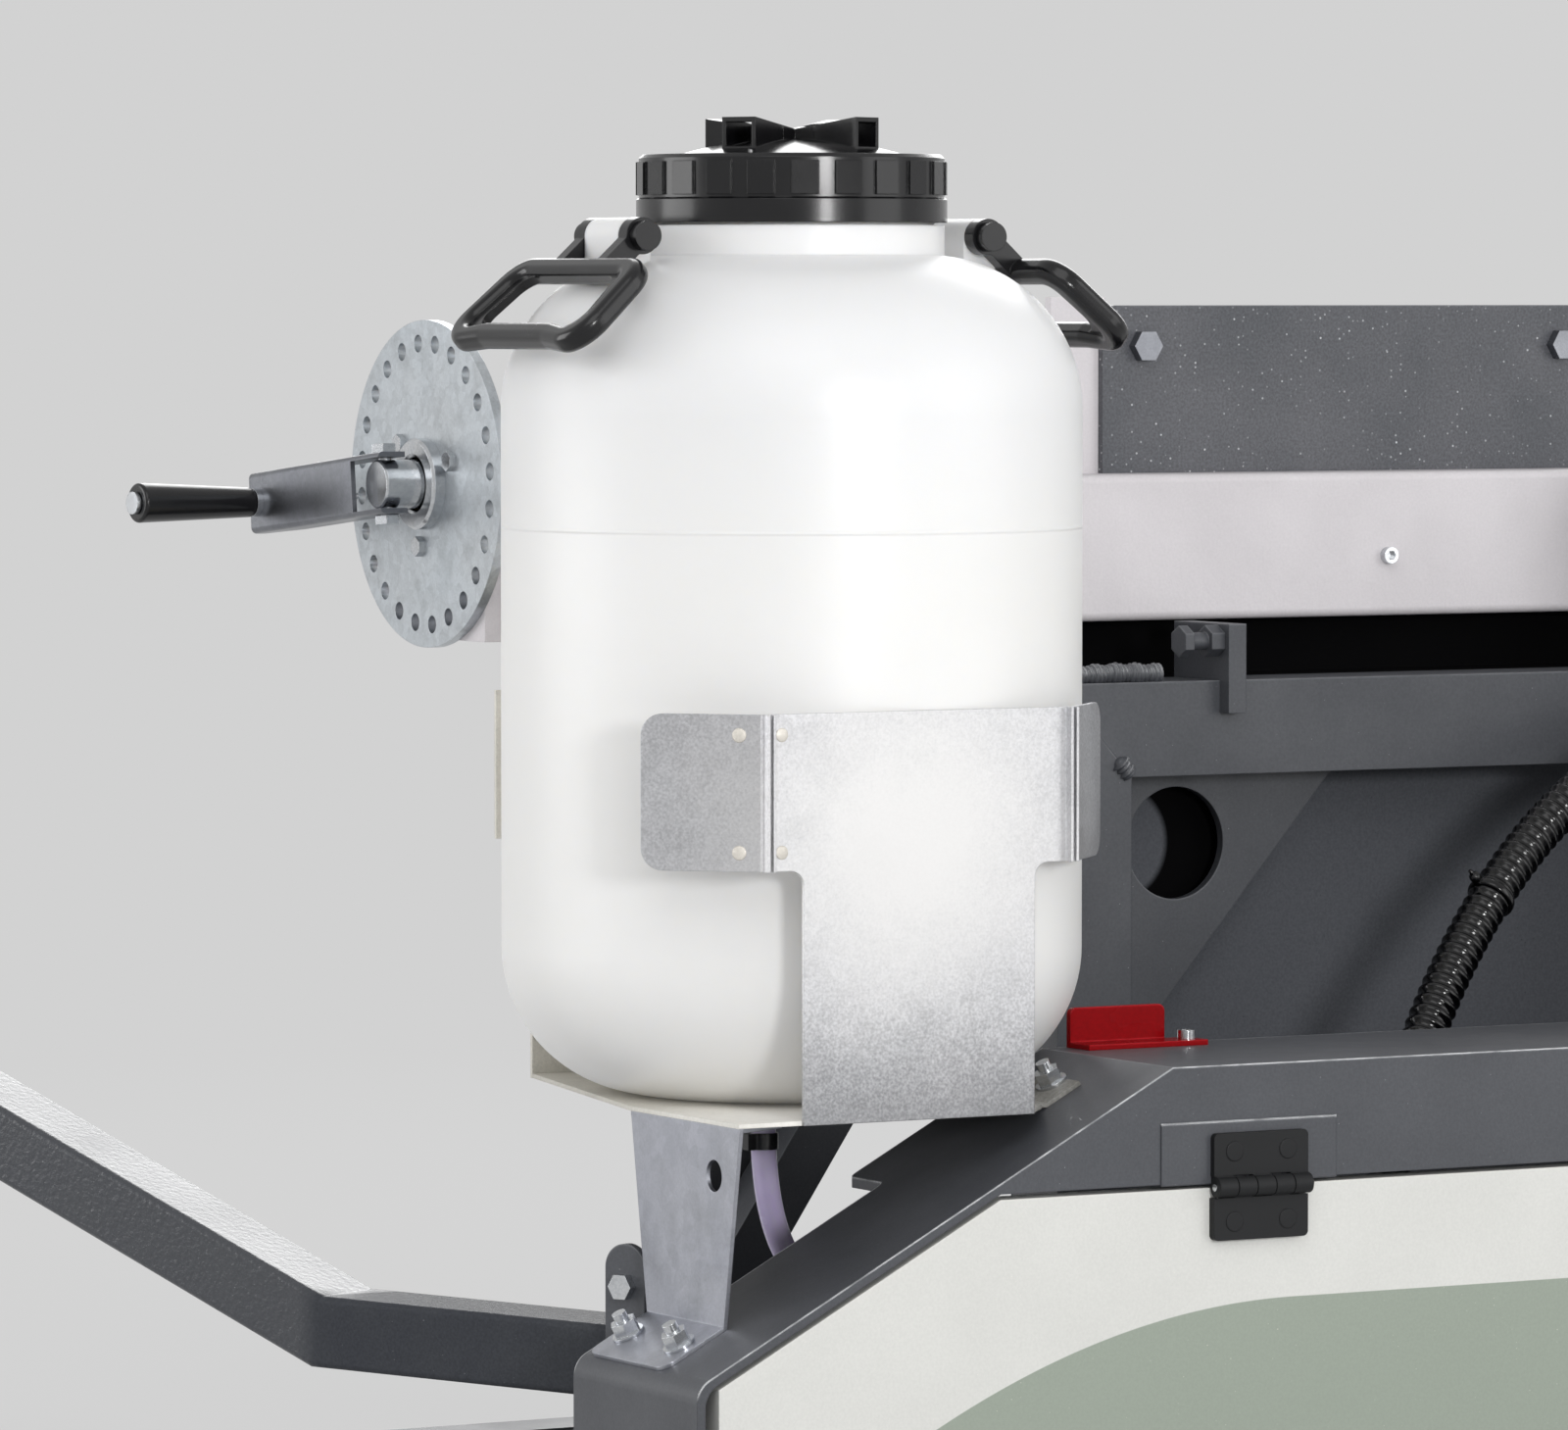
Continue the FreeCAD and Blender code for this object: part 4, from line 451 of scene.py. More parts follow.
@dataclass(frozen=True)
class ZincSheet(Finish):
    """Hot dipped or plated zinc: crystal spangle, a painted pool of pale light, darkening along one axis, and
    darker handling smears.
    """

    spangle_mm: float = 9.0
    spangle: float = 0.16
    smear: str = "#6E706F"
    smear_mm: float = 45.0
    smear_edge: Pair = (0.50, 0.66)
    smear_share: float = 0.45
    # A painted pool of pale light round a point
    painted_light: str = "#E6E5E4"
    painted_light_at: Triple = (0.0, 0.0, 0.0)
    painted_light_mm: float = 0.0
    painted_light_core_mm: float = 70.0
    painted_light_fade_mm: float = 90.0
    painted_light_share: float = 0.92
    painted_light_squash: Triple = (0.9, 1.0, 1.0)
    grit_mm: float = 2.2
    grit_reach: float = 0.06
    cloud_reach: float = 0.05
    fleck: float = 0.06
    fleck_mm: float = 1.5
    # Darker towards one end of one axis
    darkening_axis: int = 2
    darkening_span: Pair = (-9.0, -8.0)
    darkening_reach: float = 0.05
    darkening: float = 0.58

    def tint(self, tree: Tree, where: Socket, tone: Socket) -> Socket:
        """Lay spangle, the darkening along one axis, smears and the painted pool of light over the metal."""
        crystal = add_node(tree, "TexVoronoi", {"Vector": where, "Scale": per_mm(self.spangle_mm)})
        value = add_node(tree, "SeparateColor", {0: crystal.outputs["Color"]}).outputs[0]
        lift = ramp(tree, value, 0.0, 1.0, 1.0 - self.spangle)
        frost = noise(tree, where, self.fleck_mm, 2.0)
        fine = ramp(tree, frost, *BROAD, 1.0 - self.fleck, 1.0 + self.fleck)
        cut = blend(tree, 1.0, tone, maths(tree, MULTIPLY, lift, fine), MULTIPLY)
        along = maths(tree, "MULTIPLY_ADD", frost, self.darkening_reach, axis_of(tree, where, self.darkening_axis))
        darkened = blend(tree, 1.0, cut, ramp(tree, along, *self.darkening_span, self.darkening, ease=SMOOTH), MULTIPLY)
        cloud = noise(tree, where, self.smear_mm, 6.0, 0.62)
        mark = ramp(tree, cloud, *self.smear_edge, 0.0, self.smear_share)
        smeared = blend(tree, mark, darkened, linear(self.smear))
        if not self.painted_light_mm:
            return smeared
        return blend(tree, self.painted_light_cover(tree, where, cloud), smeared, linear(self.painted_light))

    def painted_light_cover(self, tree: Tree, where: Socket, cloud: Socket) -> Socket:
        """Return how far the painted pool of light covers the metal, with a gritty and clouded edge."""
        offset = add_node(tree, "VectorMath", {0: where, 1: self.painted_light_at}, operation="SUBTRACT")
        shaped = add_node(tree, "VectorMath", {0: offset.outputs[0], 1: self.painted_light_squash}, operation=MULTIPLY)
        away = add_node(tree, "VectorMath", {0: shaped.outputs[0]}, operation="LENGTH").outputs["Value"]
        grit = noise(tree, where, self.grit_mm, 4.0, 0.7)
        gritty = maths(tree, "MULTIPLY_ADD", grit, self.grit_reach, away)
        ragged = maths(tree, "MULTIPLY_ADD", cloud, self.cloud_reach, gritty)
        rim = (self.painted_light_mm + self.painted_light_fade_mm) * MM
        return ramp(tree, ragged, rim, self.painted_light_core_mm * MM, 0.0, self.painted_light_share, SMOOTH)


class Finishes:
    """Every finish on the part, made once and shared by its pieces."""

    def __init__(self) -> None:
        """Build the materials."""
        # Natural HDPE scatters light, so the wall glows softly and edges stay pale
        drum = NaturalPolyethylene("natural_hdpe", "#F1F0EE", "#EEEDEA", 0.42, mottle_mm=140.0, grain_mm=30.0,
                                   grain_depth_mm=0.25, edge_mm=2.0)
        # Black polypropylene from a polished mould: near black with a clear broad highlight
        black = MouldedPlastic("black_polypropylene", "#0C0C0E", "#131315", 0.24, grain_mm=1.5,
                               grain_depth_mm=0.02, coat=0.2)
        # Nitrile rubber: dull and dark
        seal = MouldedPlastic("nitrile_rubber", "#1A1A1A", "#222222", 0.75, grain_mm=0.8)
        # Clear vinyl with a violet dye: pale, smooth and lit from inside
        hose = TranslucentPolymer("violet_clear_pvc", "#D6CBEF", "#C8BCE6", 0.24, mottle_mm=30.0,
                                  grain_depth_mm=0.01)
        # Cast iron under thick paint: dark, with the sand's grain showing through
        pump = PowderCoat("painted_cast_iron", "#35383B", "#2D3033", 0.55, grain_mm=2.0, grain_depth_mm=0.12)
        # Motor enamel: blue grey and a little smoother
        motor = PowderCoat("motor_enamel", "#4A5056", "#444A50", 0.45, grain_mm=1.2)
        # Galvanised sheet: crystals of slightly different grey, bright where it was wiped
        sheet = ZincSheet("galvanised_sheet", "#BEC0C8", "#A4A6AE", 0.38, swing=0.10, metallic=1.0, grain_mm=6.0,
                          grain_depth_mm=0.02, smear_share=0.22, spangle=0.10)
        # The front bracket's sheet: the same metal under a wide painted reflection of the front lamp, and darker
        # towards its foot
        front = ZincSheet("galvanised_front", "#D2D2D5", "#C6C7CA", 0.46, swing=0.08, metallic=1.0, grain_mm=6.0,
                          grain_depth_mm=0.02, painted_light_at=(-0.280, -0.190, 0.395), painted_light_mm=105.0,
                          smear_share=0.08, spangle=0.08, fleck=0.16, darkening_span=(0.262, 0.355))
        # Bright zinc plate on turned and folded steel
        zinc = ZincSheet("bright_zinc", "#D8DADC", "#CBCED2", 0.22, metallic=1.0, spangle_mm=1.5, spangle=0.08,
                         smear_mm=12.0, smear_share=0.15, mottle_mm=15.0, edge_mm=0.4, grain_mm=0.8,
                         grain_depth_mm=0.01)
        # Folded lever: the same plate, duller from handling, so it stands darker than the disc
        lever = ZincSheet("handled_zinc", "#888A8F", "#7C7E84", 0.30, metallic=1.0, spangle_mm=4.0, spangle=0.10,
                          smear_mm=25.0, smear_share=0.12, edge_mm=0.5)
        # Zinc behind the drum, painted pale and warm as painted light from the drum's warm glow
        pale_lit_zinc = ZincSheet("zinc_with_painted_light", "#E2DFD6", "#D6D3CA", 0.60, metallic=0.2, grain_mm=6.0,
                           grain_depth_mm=0.02, smear_share=0.10, spangle=0.06)
        # The tray has the same pale skin of painted warm light, more painted light in front under the drum, and
        # it is darker towards its bolted tab
        tray = ZincSheet("tray_zinc_with_painted_light", "#D2CFC6", "#C8C5BC", 0.60, metallic=0.2, grain_mm=6.0,
                         grain_depth_mm=0.02, smear_share=0.10, spangle=0.06, painted_light="#F7F5F0",
                         painted_light_at=(-0.300, -0.160, 0.2475), painted_light_mm=110.0, darkening_axis=0,
                         darkening_span=(-0.160, -0.195), darkening=0.26)
        # Spot welds: flat discs that the electrodes pressed pale and smooth
        weld = ZincSheet("pressed_weld", "#E4DFD6", "#DAD5CC", 0.55, metallic=0.4, spangle=0.05, smear_share=0.05)
        # Plated disc: mid grey with small crystals and faint smears
        disc = ZincSheet("zinc_plate", "#C9CED2", "#BAC0C5", 0.34, metallic=1.0, spangle_mm=5.0, spangle=0.14,
                         smear_mm=22.0, smear_share=0.2, edge_mm=0.5)
        # Turned bronze: warm, with fine darker turning marks
        bronze = ZincSheet("turned_bronze", "#B58A4A", "#A67C3E", 0.30, metallic=1.0, spangle_mm=1.0,
                           spangle=0.05, smear="#6B4E22")
        # Dark grey powder paint with a fine texture; its upper edges are painted a lighter grey, partly thinned
        # coat and partly painted highlight
        dark = PowderCoat("graphite_powder_paint", "#4A4C51", "#44464B", 0.44, grain_mm=1.1, grain_depth_mm=0.05,
                          edge_wear_and_highlight_share=0.5)
        # The same paint on the rail: its upper edges are painted near white, partly rubbed down to bright steel
        # and partly painted highlight
        rubbed_and_lit = PowderCoat("rubbed_and_edge_lit_powder_paint", "#4A4C51", "#44464B", 0.42, grain_mm=1.1, grain_depth_mm=0.05,
                            edge_wear_and_highlight="#E4E6E8", edge_wear_and_highlight_share=1.0)
        # The bent arm's thick gloss coat has a strong orange peel, so its far top glitters
        gloss = ScuffedGloss("gloss_powder_paint", "#434549", "#3E4045", 0.24, grain_mm=3.4, grain_depth_mm=0.42,
                             edge_wear_and_highlight_share=0.4)
        # Folded rear panel: grey below the rail, and near black above it as painted shade in the slot; a painted
        # shadow lies behind the gusset hole
        panel = PanelPaintWithPaintedShade("panel_paint_with_painted_shade", "#050506", "#070708", 0.8, grain_mm=1.1, grain_depth_mm=0.05,
                            edge_wear_and_highlight_share=0.0, speck="#1A1B1C", specular=0.05, lower="#55575C", split_z=0.4585,
                            hole_shadow_at=(0.108, 0.166, 0.3625), lit_spot_at=(0.068, 0.166, 0.3625))
        # Back plate: a lighter grey, strewn with pale specks and flecks; the pale specks are partly painted
        # glints
        plate = PowderCoat("specked_powder_paint", "#55565B", "#4E5055", 0.46, grain_mm=1.6, grain_depth_mm=0.06,
                           speck="#D4D6D9", speck_mm=3.4, speck_share=0.24, speck_from=0.62, fleck=0.24)
        # Beam paint: a pale stone grey with a coarse orange peel
        pale = PowderCoat("stone_powder_paint", "#D6D2D5", "#D0CCCF", 0.44, grain_mm=5.0, grain_depth_mm=0.30,
                          speck="#D6D1CC", edge_wear_and_highlight="#E6E2DE", edge_wear_and_highlight_share=0.6, fleck=0.03)
        # Cover door: cream above and soft green below, with a curved border at the left
        cream = TwoTonePaint("cream_powder_paint", "#D7D7D3", "#D3D3CF", 0.42, grain_mm=1.8, grain_depth_mm=0.04,
                             speck="#ECE9E0", edge_wear_and_highlight="#F0EEE6", edge_wear_and_highlight_share=0.4, fleck=0.03, lower="#959E92",
                             split_z=0.1415, bend_x=-0.055, bend=1.15)
        # Red stop: deep glossy red, painted brighter along its upper edges as painted highlight
        red = PowderCoat("red_gloss_paint", "#8A0209", "#820208", 0.30, grain_mm=2.0, grain_depth_mm=0.02,
                         speck="#A81820", edge_wear_and_highlight="#D8303A", edge_wear_and_highlight_share=0.5, specular=0.1)
        # Glass filled nylon: black and matt
        hinge = MouldedPlastic("black_glass_nylon", "#111214", "#17181A", 0.58, grain_mm=0.9, grain_depth_mm=0.03)
        # Conduit nylon: black, with a small sharp glint on each rib
        conduit = MouldedPlastic("black_nylon", "#030304", "#060607", 0.17, grain_mm=2.0, grain_depth_mm=0.01,
                                 specular=0.45)
        made = {Slot.TANK: drum, Slot.BLACK: black, Slot.SEAL: seal, Slot.HOSE: hose, Slot.PUMP: pump,
                Slot.MOTOR: motor, Slot.GALVANISED: sheet, Slot.ZINC: zinc, Slot.DISC: disc, Slot.BRONZE: bronze,
                Slot.DARK: dark, Slot.PALE: pale, Slot.CREAM: cream, Slot.RED: red, Slot.HINGE: hinge,
                Slot.CONDUIT: conduit}
        self.of: dict[Slot, Material] = {slot: finish.build() for slot, finish in made.items()}
        self.front_sheet: Material = front.build()
        self.specked: Material = plate.build()
        self.rubbed_and_lit: Material = rubbed_and_lit.build()
        self.panel: Material = panel.build()
        self.gloss: Material = gloss.build()
        self.lever: Material = lever.build()
        self.weld: Material = weld.build()
        self.pale_lit_zinc: Material = pale_lit_zinc.build()
        self.tray: Material = tray.build()


def dress(nodes: Nodes, names: list[str], material: Material) -> None:
    """Put one material on some of the frame's solids.

    Args:
        nodes: The frame's solids by name.
        names: The solids to dress.
        material: The material they take.
    """
    for name in names:
        data = nodes[name].data
        data.materials.clear()
        data.materials.append(material)
        LOG.info("dressed %s in %s", name, material.name)


def piece(mesh: Mesh, name: str, body: str, slot: Slot, material: Material,
          smooth: bool = True) -> bpy.types.Object:
    """Turn a mesh into a named piece that rides on a body.

    Args:
        mesh: The mesh, in metres in the row's frame; it is freed.
        name: The piece's name.
        body: The body that carries it.
        slot: The record's slot; not used.
        material: Its material.
        smooth: Whether its faces are shaded smooth.

    Returns:
        The new object.
    """
    bmesh.ops.recalc_face_normals(mesh, faces=mesh.faces)
    data = bpy.data.meshes.new(name)
    mesh.to_mesh(data)
    mesh.free()
    for polygon in data.polygons:
        polygon.use_smooth = smooth
    data.materials.append(material)
    made = bpy.data.objects.new(name, data)
    bpy.context.scene.collection.objects.link(made)
    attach(made, body)
    LOG.info("added %s on %s", name, body)
    return made


def add_turned(mesh: Mesh, profile: list[Pair], at: Vector, axis: Vector, steps: int = 24) -> None:
    """Add a turned solid to a mesh.

    Args:
        mesh: The mesh that takes it.
        profile: Radius and height pairs in metres, from the axis at the base to the axis at the top.
        at: The base's centre.
        axis: The direction of its height.
        steps: How many sides it has.
    """
    turn = Vector((0, 0, 1)).rotation_difference(axis).to_matrix()
    angles = [2 * math.pi * i / steps for i in range(steps)]
    rings = []
    for radius, height in profile:
        used = angles if radius > TINY else angles[:1]
        corners = [Vector((radius * math.cos(a), radius * math.sin(a), height)) for a in used]
        rings.append([mesh.verts.new(at + turn @ corner) for corner in corners])
    for low, high in zip(rings, rings[1:]):
        for i in range(steps):
            j = (i + 1) % steps
            corners = [low[i % len(low)], low[j % len(low)], high[j % len(high)], high[i % len(high)]]
            unique = list(dict.fromkeys(corners))
            if len(unique) > 2:
                mesh.faces.new(unique)


def add_pad(mesh: Mesh, corner: Vector, size: Triple, chamfer: float) -> None:
    """Add a flat pad with a chamfered front to a mesh.

    Args:
        mesh: The mesh that takes it.
        corner: Its front lower left corner.
        size: Its width, thickness and height.
        chamfer: How far its front edges are cut back.
    """
    wide, thick, high = size
    rings = []
    for depth, inset in ((thick, 0.0), (chamfer, 0.0), (0.0, chamfer)):
        places = ((inset, inset), (wide - inset, inset), (wide - inset, high - inset), (inset, high - inset))
        rings.append([mesh.verts.new(corner + Vector((x, depth, z))) for x, z in places])
    for low, top in zip(rings, rings[1:]):
        for i in range(4):
            mesh.faces.new((low[i - 1], low[i], top[i], top[i - 1]))
    mesh.faces.new(rings[0])
    mesh.faces.new(rings[-1])


@dataclass
class Route:
    """The line that a hose or conduit follows, from points in millimetres off the tank's axis and tray."""

    name: str
    points_mm: list[Triple]
    fineness: int = 16

    def curve(self) -> bpy.types.Object:
        """Return a linked curve, with no thickness, that runs smoothly along the route."""
        data = bpy.data.curves.new(self.name, "CURVE")
        data.dimensions = "3D"
        data.resolution_u = self.fineness
        spline = data.splines.new("NURBS")
        places = [TANK_AXIS + Vector(p) * MM for p in self.points_mm]
        spline.points.add(len(places) - 1)
        for target, place in zip(spline.points, places):
            target.co = (*place, 1.0)
        spline.order_u = 3
        spline.use_endpoint_u = True
        made = bpy.data.objects.new(self.name, data)
        bpy.context.scene.collection.objects.link(made)
        return made

    def line(self) -> list[Vector]:
        """Return points read along the smooth curve, in metres, and remove the curve."""
        guide = self.curve()
        graph = bpy.context.evaluated_depsgraph_get()
        mesh = bpy.data.meshes.new_from_object(guide.evaluated_get(graph))
        line = [v.co.copy() for v in mesh.vertices]
        bpy.data.meshes.remove(mesh)
        data = guide.data
        bpy.data.objects.remove(guide)
        bpy.data.curves.remove(data)
        return line


def line_length(line: list[Vector]) -> float:
    """Return the length of a line of points."""
    return sum((b - a).length for a, b in zip(line, line[1:]))


def walk(line: list[Vector], step: float) -> Places:
    """Return evenly spaced places along a line of points.

    Args:
        line: The points.
        step: About how far apart the places are.

    Returns:
        A place and its heading for each step.
    """
    total = line_length(line)
    count = max(2, round(total / step))
    marks = [0.0]
    for a, b in zip(line, line[1:]):
        marks.append(marks[-1] + (b - a).length)
    places = []
    segment = 0
    for i in range(count + 1):
        wanted = total * i / count
        while segment < len(line) - 2 and marks[segment + 1] < wanted:
            segment += 1
        run = line[segment + 1] - line[segment]
        share = (wanted - marks[segment]) / max(run.length, TINY)
        places.append((line[segment] + run * min(share, 1.0), run.normalized()))
    return places


def add_tube(mesh: Mesh, places: Places, radii: list[float], bore: float, steps: int) -> None:
    """Add a tube with a bore, whose outside radius changes along its line.

    Args:
        mesh: The mesh that takes it.
        places: The line's places and headings.
        radii: The outside radius at each place.
        bore: The inside radius; nought makes it solid.
        steps: How many sides it has.
    """
    angles = [2 * math.pi * i / steps for i in range(steps)]
    side = places[0][1].orthogonal().normalized()
    outer = []
    inner = []
    for (place, heading), radius in zip(places, radii):
        side = (side - heading * side.dot(heading)).normalized()
        up = heading.cross(side)
        around = [side * math.cos(a) + up * math.sin(a) for a in angles]
        outer.append([mesh.verts.new(place + a * radius) for a in around])
        if bore:
            inner.append([mesh.verts.new(place + a * bore) for a in around])
    if not bore:
        mesh.faces.new(outer[0])
        mesh.faces.new(outer[-1])
    for rings in (outer, inner):
        for low, high in zip(rings, rings[1:]):
            for i in range(steps):
                mesh.faces.new((low[i], low[i - 1], high[i - 1], high[i]))
    for a, b in zip((outer[0], outer[-1]), inner[:1] + inner[-1:]):
        for i in range(steps):
            mesh.faces.new((a[i], a[i - 1], b[i - 1], b[i]))


@dataclass
class TankUnit:
    """The drum, its lid and handles, and the hose from its outlet to the pump."""

    hose_radius: float = 7 * MM
    hose_bore: float = 5 * MM
    hose_step: float = 3 * MM
    hose_sides: int = 28
    hose: Route = field(default_factory=lambda: Route("outlet_hose", [
        (-18, 0, -14), (-18, 0, -62), (10, 0, -110.5), (58.5, 0, -138.5), (108.5, 0, -138.5)]))

    def build(self, nodes: Nodes, finishes: Finishes) -> None:
        """Dress the tank's solids and lay its hose.

        Args:
            nodes: The frame's solids by name.
            finishes: The part's finishes.
        """
        dress(nodes, ["tank_body"], finishes.of[Slot.TANK])
        dress(nodes, ["lid_cap", "left_handle", "right_handle", "outlet_nipple", "outlet_nut", "hose_clamps",
                      "handle_pins"], finishes.of[Slot.BLACK])
        dress(nodes, ["lid_seal", "outlet_seal"], finishes.of[Slot.SEAL])
        dress(nodes, ["pump_body"], finishes.of[Slot.PUMP])
        dress(nodes, ["pump_motor"], finishes.of[Slot.MOTOR])
        self.lay_hose(finishes)

    def lay_hose(self, finishes: Finishes) -> None:
        """Lay the clear hose along its route."""
        line = self.hose.line()
        places = walk(line, self.hose_step)
        mesh = bmesh.new()
        add_tube(mesh, places, [self.hose_radius] * len(places), self.hose_bore, self.hose_sides)
        made = piece(mesh, "outlet_hose", "machine", Slot.HOSE, finishes.of[Slot.HOSE])
        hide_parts("coolant_hose")
        tuple(line[0])
        line_length(line)


@dataclass
class CradleUnit:
    """The galvanised cradle that holds the drum on the slope."""

    weld_radius: float = 4.2 * MM
    weld_rise: float = 0.3 * MM
    weld_shape: tuple[Pair, ...] = ((0.0, -1.0), (1.0, -1.0), (0.8, 1.0), (0.0, 0.6))
    weld_levels: Pair = (0.452, 0.390)
    weld_x: float = -358.5 * MM
    band_face: float = -190 * MM
    tab_x: float = -379.5 * MM
    tab_y: float = -181.5 * MM

    def build(self, nodes: Nodes, finishes: Finishes) -> None:
        """Dress the cradle and add its spot welds.

        Args:
            nodes: The frame's solids by name.
            finishes: The part's finishes.
        """
        dress(nodes, ["cradle_leg"], finishes.of[Slot.GALVANISED])
        dress(nodes, ["cradle_tray"], finishes.tray)
        dress(nodes, ["rear_bracket"], finishes.pale_lit_zinc)
        dress(nodes, ["front_bracket"], finishes.front_sheet)
        dress(nodes, ["cradle_bolts", "cradle_washers", "cradle_nuts"], finishes.of[Slot.ZINC])
        mesh = bmesh.new()
        profile = [(share * self.weld_radius, rise * self.weld_rise) for share, rise in self.weld_shape]
        aslant = Vector((-1, -1, 0)).normalized()
        for z in self.weld_levels:
            add_turned(mesh, profile, Vector((self.weld_x, self.band_face, z)), FRONT)
            add_turned(mesh, profile, Vector((self.tab_x, self.tab_y, z)), aslant)
        piece(mesh, "spot_welds", "machine", Slot.GALVANISED, finishes.weld)


class CrankUnit:
    """The index disc and the crank that turns over it."""

    def build(self, nodes: Nodes, finishes: Finishes) -> None:
        """Dress the crank's solids.

        Args:
            nodes: The frame's solids by name.
            finishes: The part's finishes.
        """
        dress(nodes, ["index_disc"], finishes.of[Slot.DISC])
        dress(nodes, ["hub_collar", "disc_bolts", "crank_shaft", "lever_pin", "index_pin", "grip_rod"],
              finishes.of[Slot.ZINC])
        dress(nodes, ["crank_lever"], finishes.lever)
        dress(nodes, ["shaft_bush"], finishes.of[Slot.BRONZE])
        dress(nodes, ["crank_grip"], finishes.of[Slot.BLACK])
        dress(nodes, ["bearing_block"], finishes.of[Slot.DARK])


@dataclass
class FrameUnit:
    """The painted frame end with its beam, stops, arm, cover door and conduit."""

    conduit_radius: float = 13 * MM
    conduit_root: float = 11.2 * MM
    conduit_bore: float = 9.5 * MM
    conduit_pitch: float = 7.5 * MM
    conduit_sides: int = 30
    rib_shoulder: float = 0.965
    conduit: Route = field(default_factory=lambda: Route("cable_conduit", [
        (678, 72, 181), (626, 72, 181), (552, 61, 141), (498, 46, 98), (450, 25, 50), (410, 4, -2),
        (385, -10, -60), (372, -14, -112)]))
    tie_at: float = 0.47
    tie_width: float = 4.8 * MM
    tie_rise: float = 1.4 * MM
    tie_edge: float = 0.4 * MM
    tie_sides: int = 36
    head_sink: float = 0.5 * MM
    head_sides: int = 8
    head_mm: tuple[Pair, ...] = ((0.0, 0.0), (3.4, 0.0), (3.6, 3.0), (2.8, 5.0), (0.0, 5.0))
    tail_mm: tuple[Pair, ...] = ((4.0, 1.6), (8.0, 1.2))
    bead_radius: float = 5.5 * MM
    bead_step: float = 0.8 * MM
    bead_sides: int = 14
    bead_tip: float = 0.25
    bead_taper: int = 5
    ripples: tuple[Triple, ...] = ((0.16, 1.6, 0.0), (0.12, 0.37, 1.0))
    beads: tuple[tuple[Triple, ...], ...] = (
        ((0.010, 0.121, 0.463), (0.040, 0.121, 0.464), (0.071, 0.121, 0.463)),
        ((0.037, 0.117, 0.415), (0.042, 0.117, 0.409), (0.047, 0.117, 0.404)))
    pad_size: Triple = (112 * MM, 1.2 * MM, 34 * MM)
    pad_chamfer: float = 0.5 * MM
    pad_lead: float = 31 * MM
    pad_foot: float = 205 * MM
    plug_radius: float = 5.5 * MM
    plug_shape: tuple[Pair, ...] = ((0.0, -0.2), (1.0, -0.2), (1.0, 0.3), (0.9, 0.5), (0.0, 0.6))
    plug_inset: float = 13 * MM
    plug_drop: float = 10 * MM
    hinge_width: float = 60 * MM
    leaf_face: float = -223 * MM
    apron_face: float = -218 * MM

    def build(self, nodes: Nodes, finishes: Finishes) -> None:
        """Dress the frame's solids, lay the conduit, run the weld beads and back the hinges.

        Args:
            nodes: The frame's solids by name.
            finishes: The part's finishes.
        """
        dress(nodes, ["front_rail"], finishes.rubbed_and_lit)
        dress(nodes, ["base_frame", "floor_pan", "rear_post", "top_rail", "gusset_plate", "stop_bolt",
                      "rear_strut", "end_bulkhead", "beam_stand", "arm_bracket", "stop_block"],
              finishes.of[Slot.DARK])
        dress(nodes, ["support_arm"], finishes.gloss)
        dress(nodes, ["back_plate"], finishes.specked)
        dress(nodes, ["back_panel"], finishes.panel)
        dress(nodes, ["beam", "beam_end_plate", "back_brackets"], finishes.of[Slot.PALE])
        dress(nodes, ["back_plate_bolts"], finishes.lever)
        dress(nodes, ["cap_screws", "arm_bolts", "hinge_pins"], finishes.of[Slot.ZINC])
        dress(nodes, ["red_stop"], finishes.of[Slot.RED])
        dress(nodes, ["cover_door"], finishes.of[Slot.CREAM])
        dress(nodes, ["hinge_frame_leaves", "hinge_door_leaves"], finishes.of[Slot.HINGE])
        dress(nodes, ["arm_cap"], finishes.of[Slot.BLACK])
        self.lay_conduit(finishes)
        self.run_beads(finishes)
        self.back_hinges(finishes)

    def run_beads(self, finishes: Finishes) -> None:
        """Run the weld beads at the corner of the post and the top rail."""
        mesh = bmesh.new()
        for line in self.beads:
            places = walk([Vector(p) for p in line], self.bead_step)
            last = len(places) - 1
            radii = []
            for i in range(len(places)):
                ripple = 1.0 + sum(size * math.sin(i * rate + start) for size, rate, start in self.ripples)
                end = min(i, last - i) / self.bead_taper
                radii.append(self.bead_radius * ripple * min(1.0, self.bead_tip + end))
            add_tube(mesh, places, radii, 0.0, self.bead_sides)
        piece(mesh, "corner_beads", "machine", Slot.DARK, finishes.rubbed_and_lit)

    def back_hinges(self, finishes: Finishes) -> None:
        """Add the pads that are welded behind the hinges, and the plugs over the hinge screws."""
        profile = [(share * self.plug_radius, rise * MM) for share, rise in self.plug_shape]
        pads = bmesh.new()
        for leaf, body, side in (("hinge_frame_leaves", "machine", 1), ("hinge_door_leaves", "door", -1)):
            low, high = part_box(leaf)
            level = (high.z - self.plug_drop) if side > 0 else (low.z + self.plug_drop)
            plugs = bmesh.new()
            for left in (low.x, high.x - self.hinge_width):
                for x in (left + self.plug_inset, left + self.hinge_width - self.plug_inset):
                    add_turned(plugs, profile, Vector((x, self.leaf_face, level)), FRONT)
                if side > 0:
                    corner = Vector((left - self.pad_lead, self.apron_face - self.pad_size[1], self.pad_foot))
                    add_pad(pads, corner, self.pad_size, self.pad_chamfer)
            piece(plugs, "hinge_plugs_" + body, body, Slot.HINGE, finishes.of[Slot.HINGE], smooth=False)
        piece(pads, "hinge_pads", "machine", Slot.DARK, finishes.rubbed_and_lit, smooth=False)

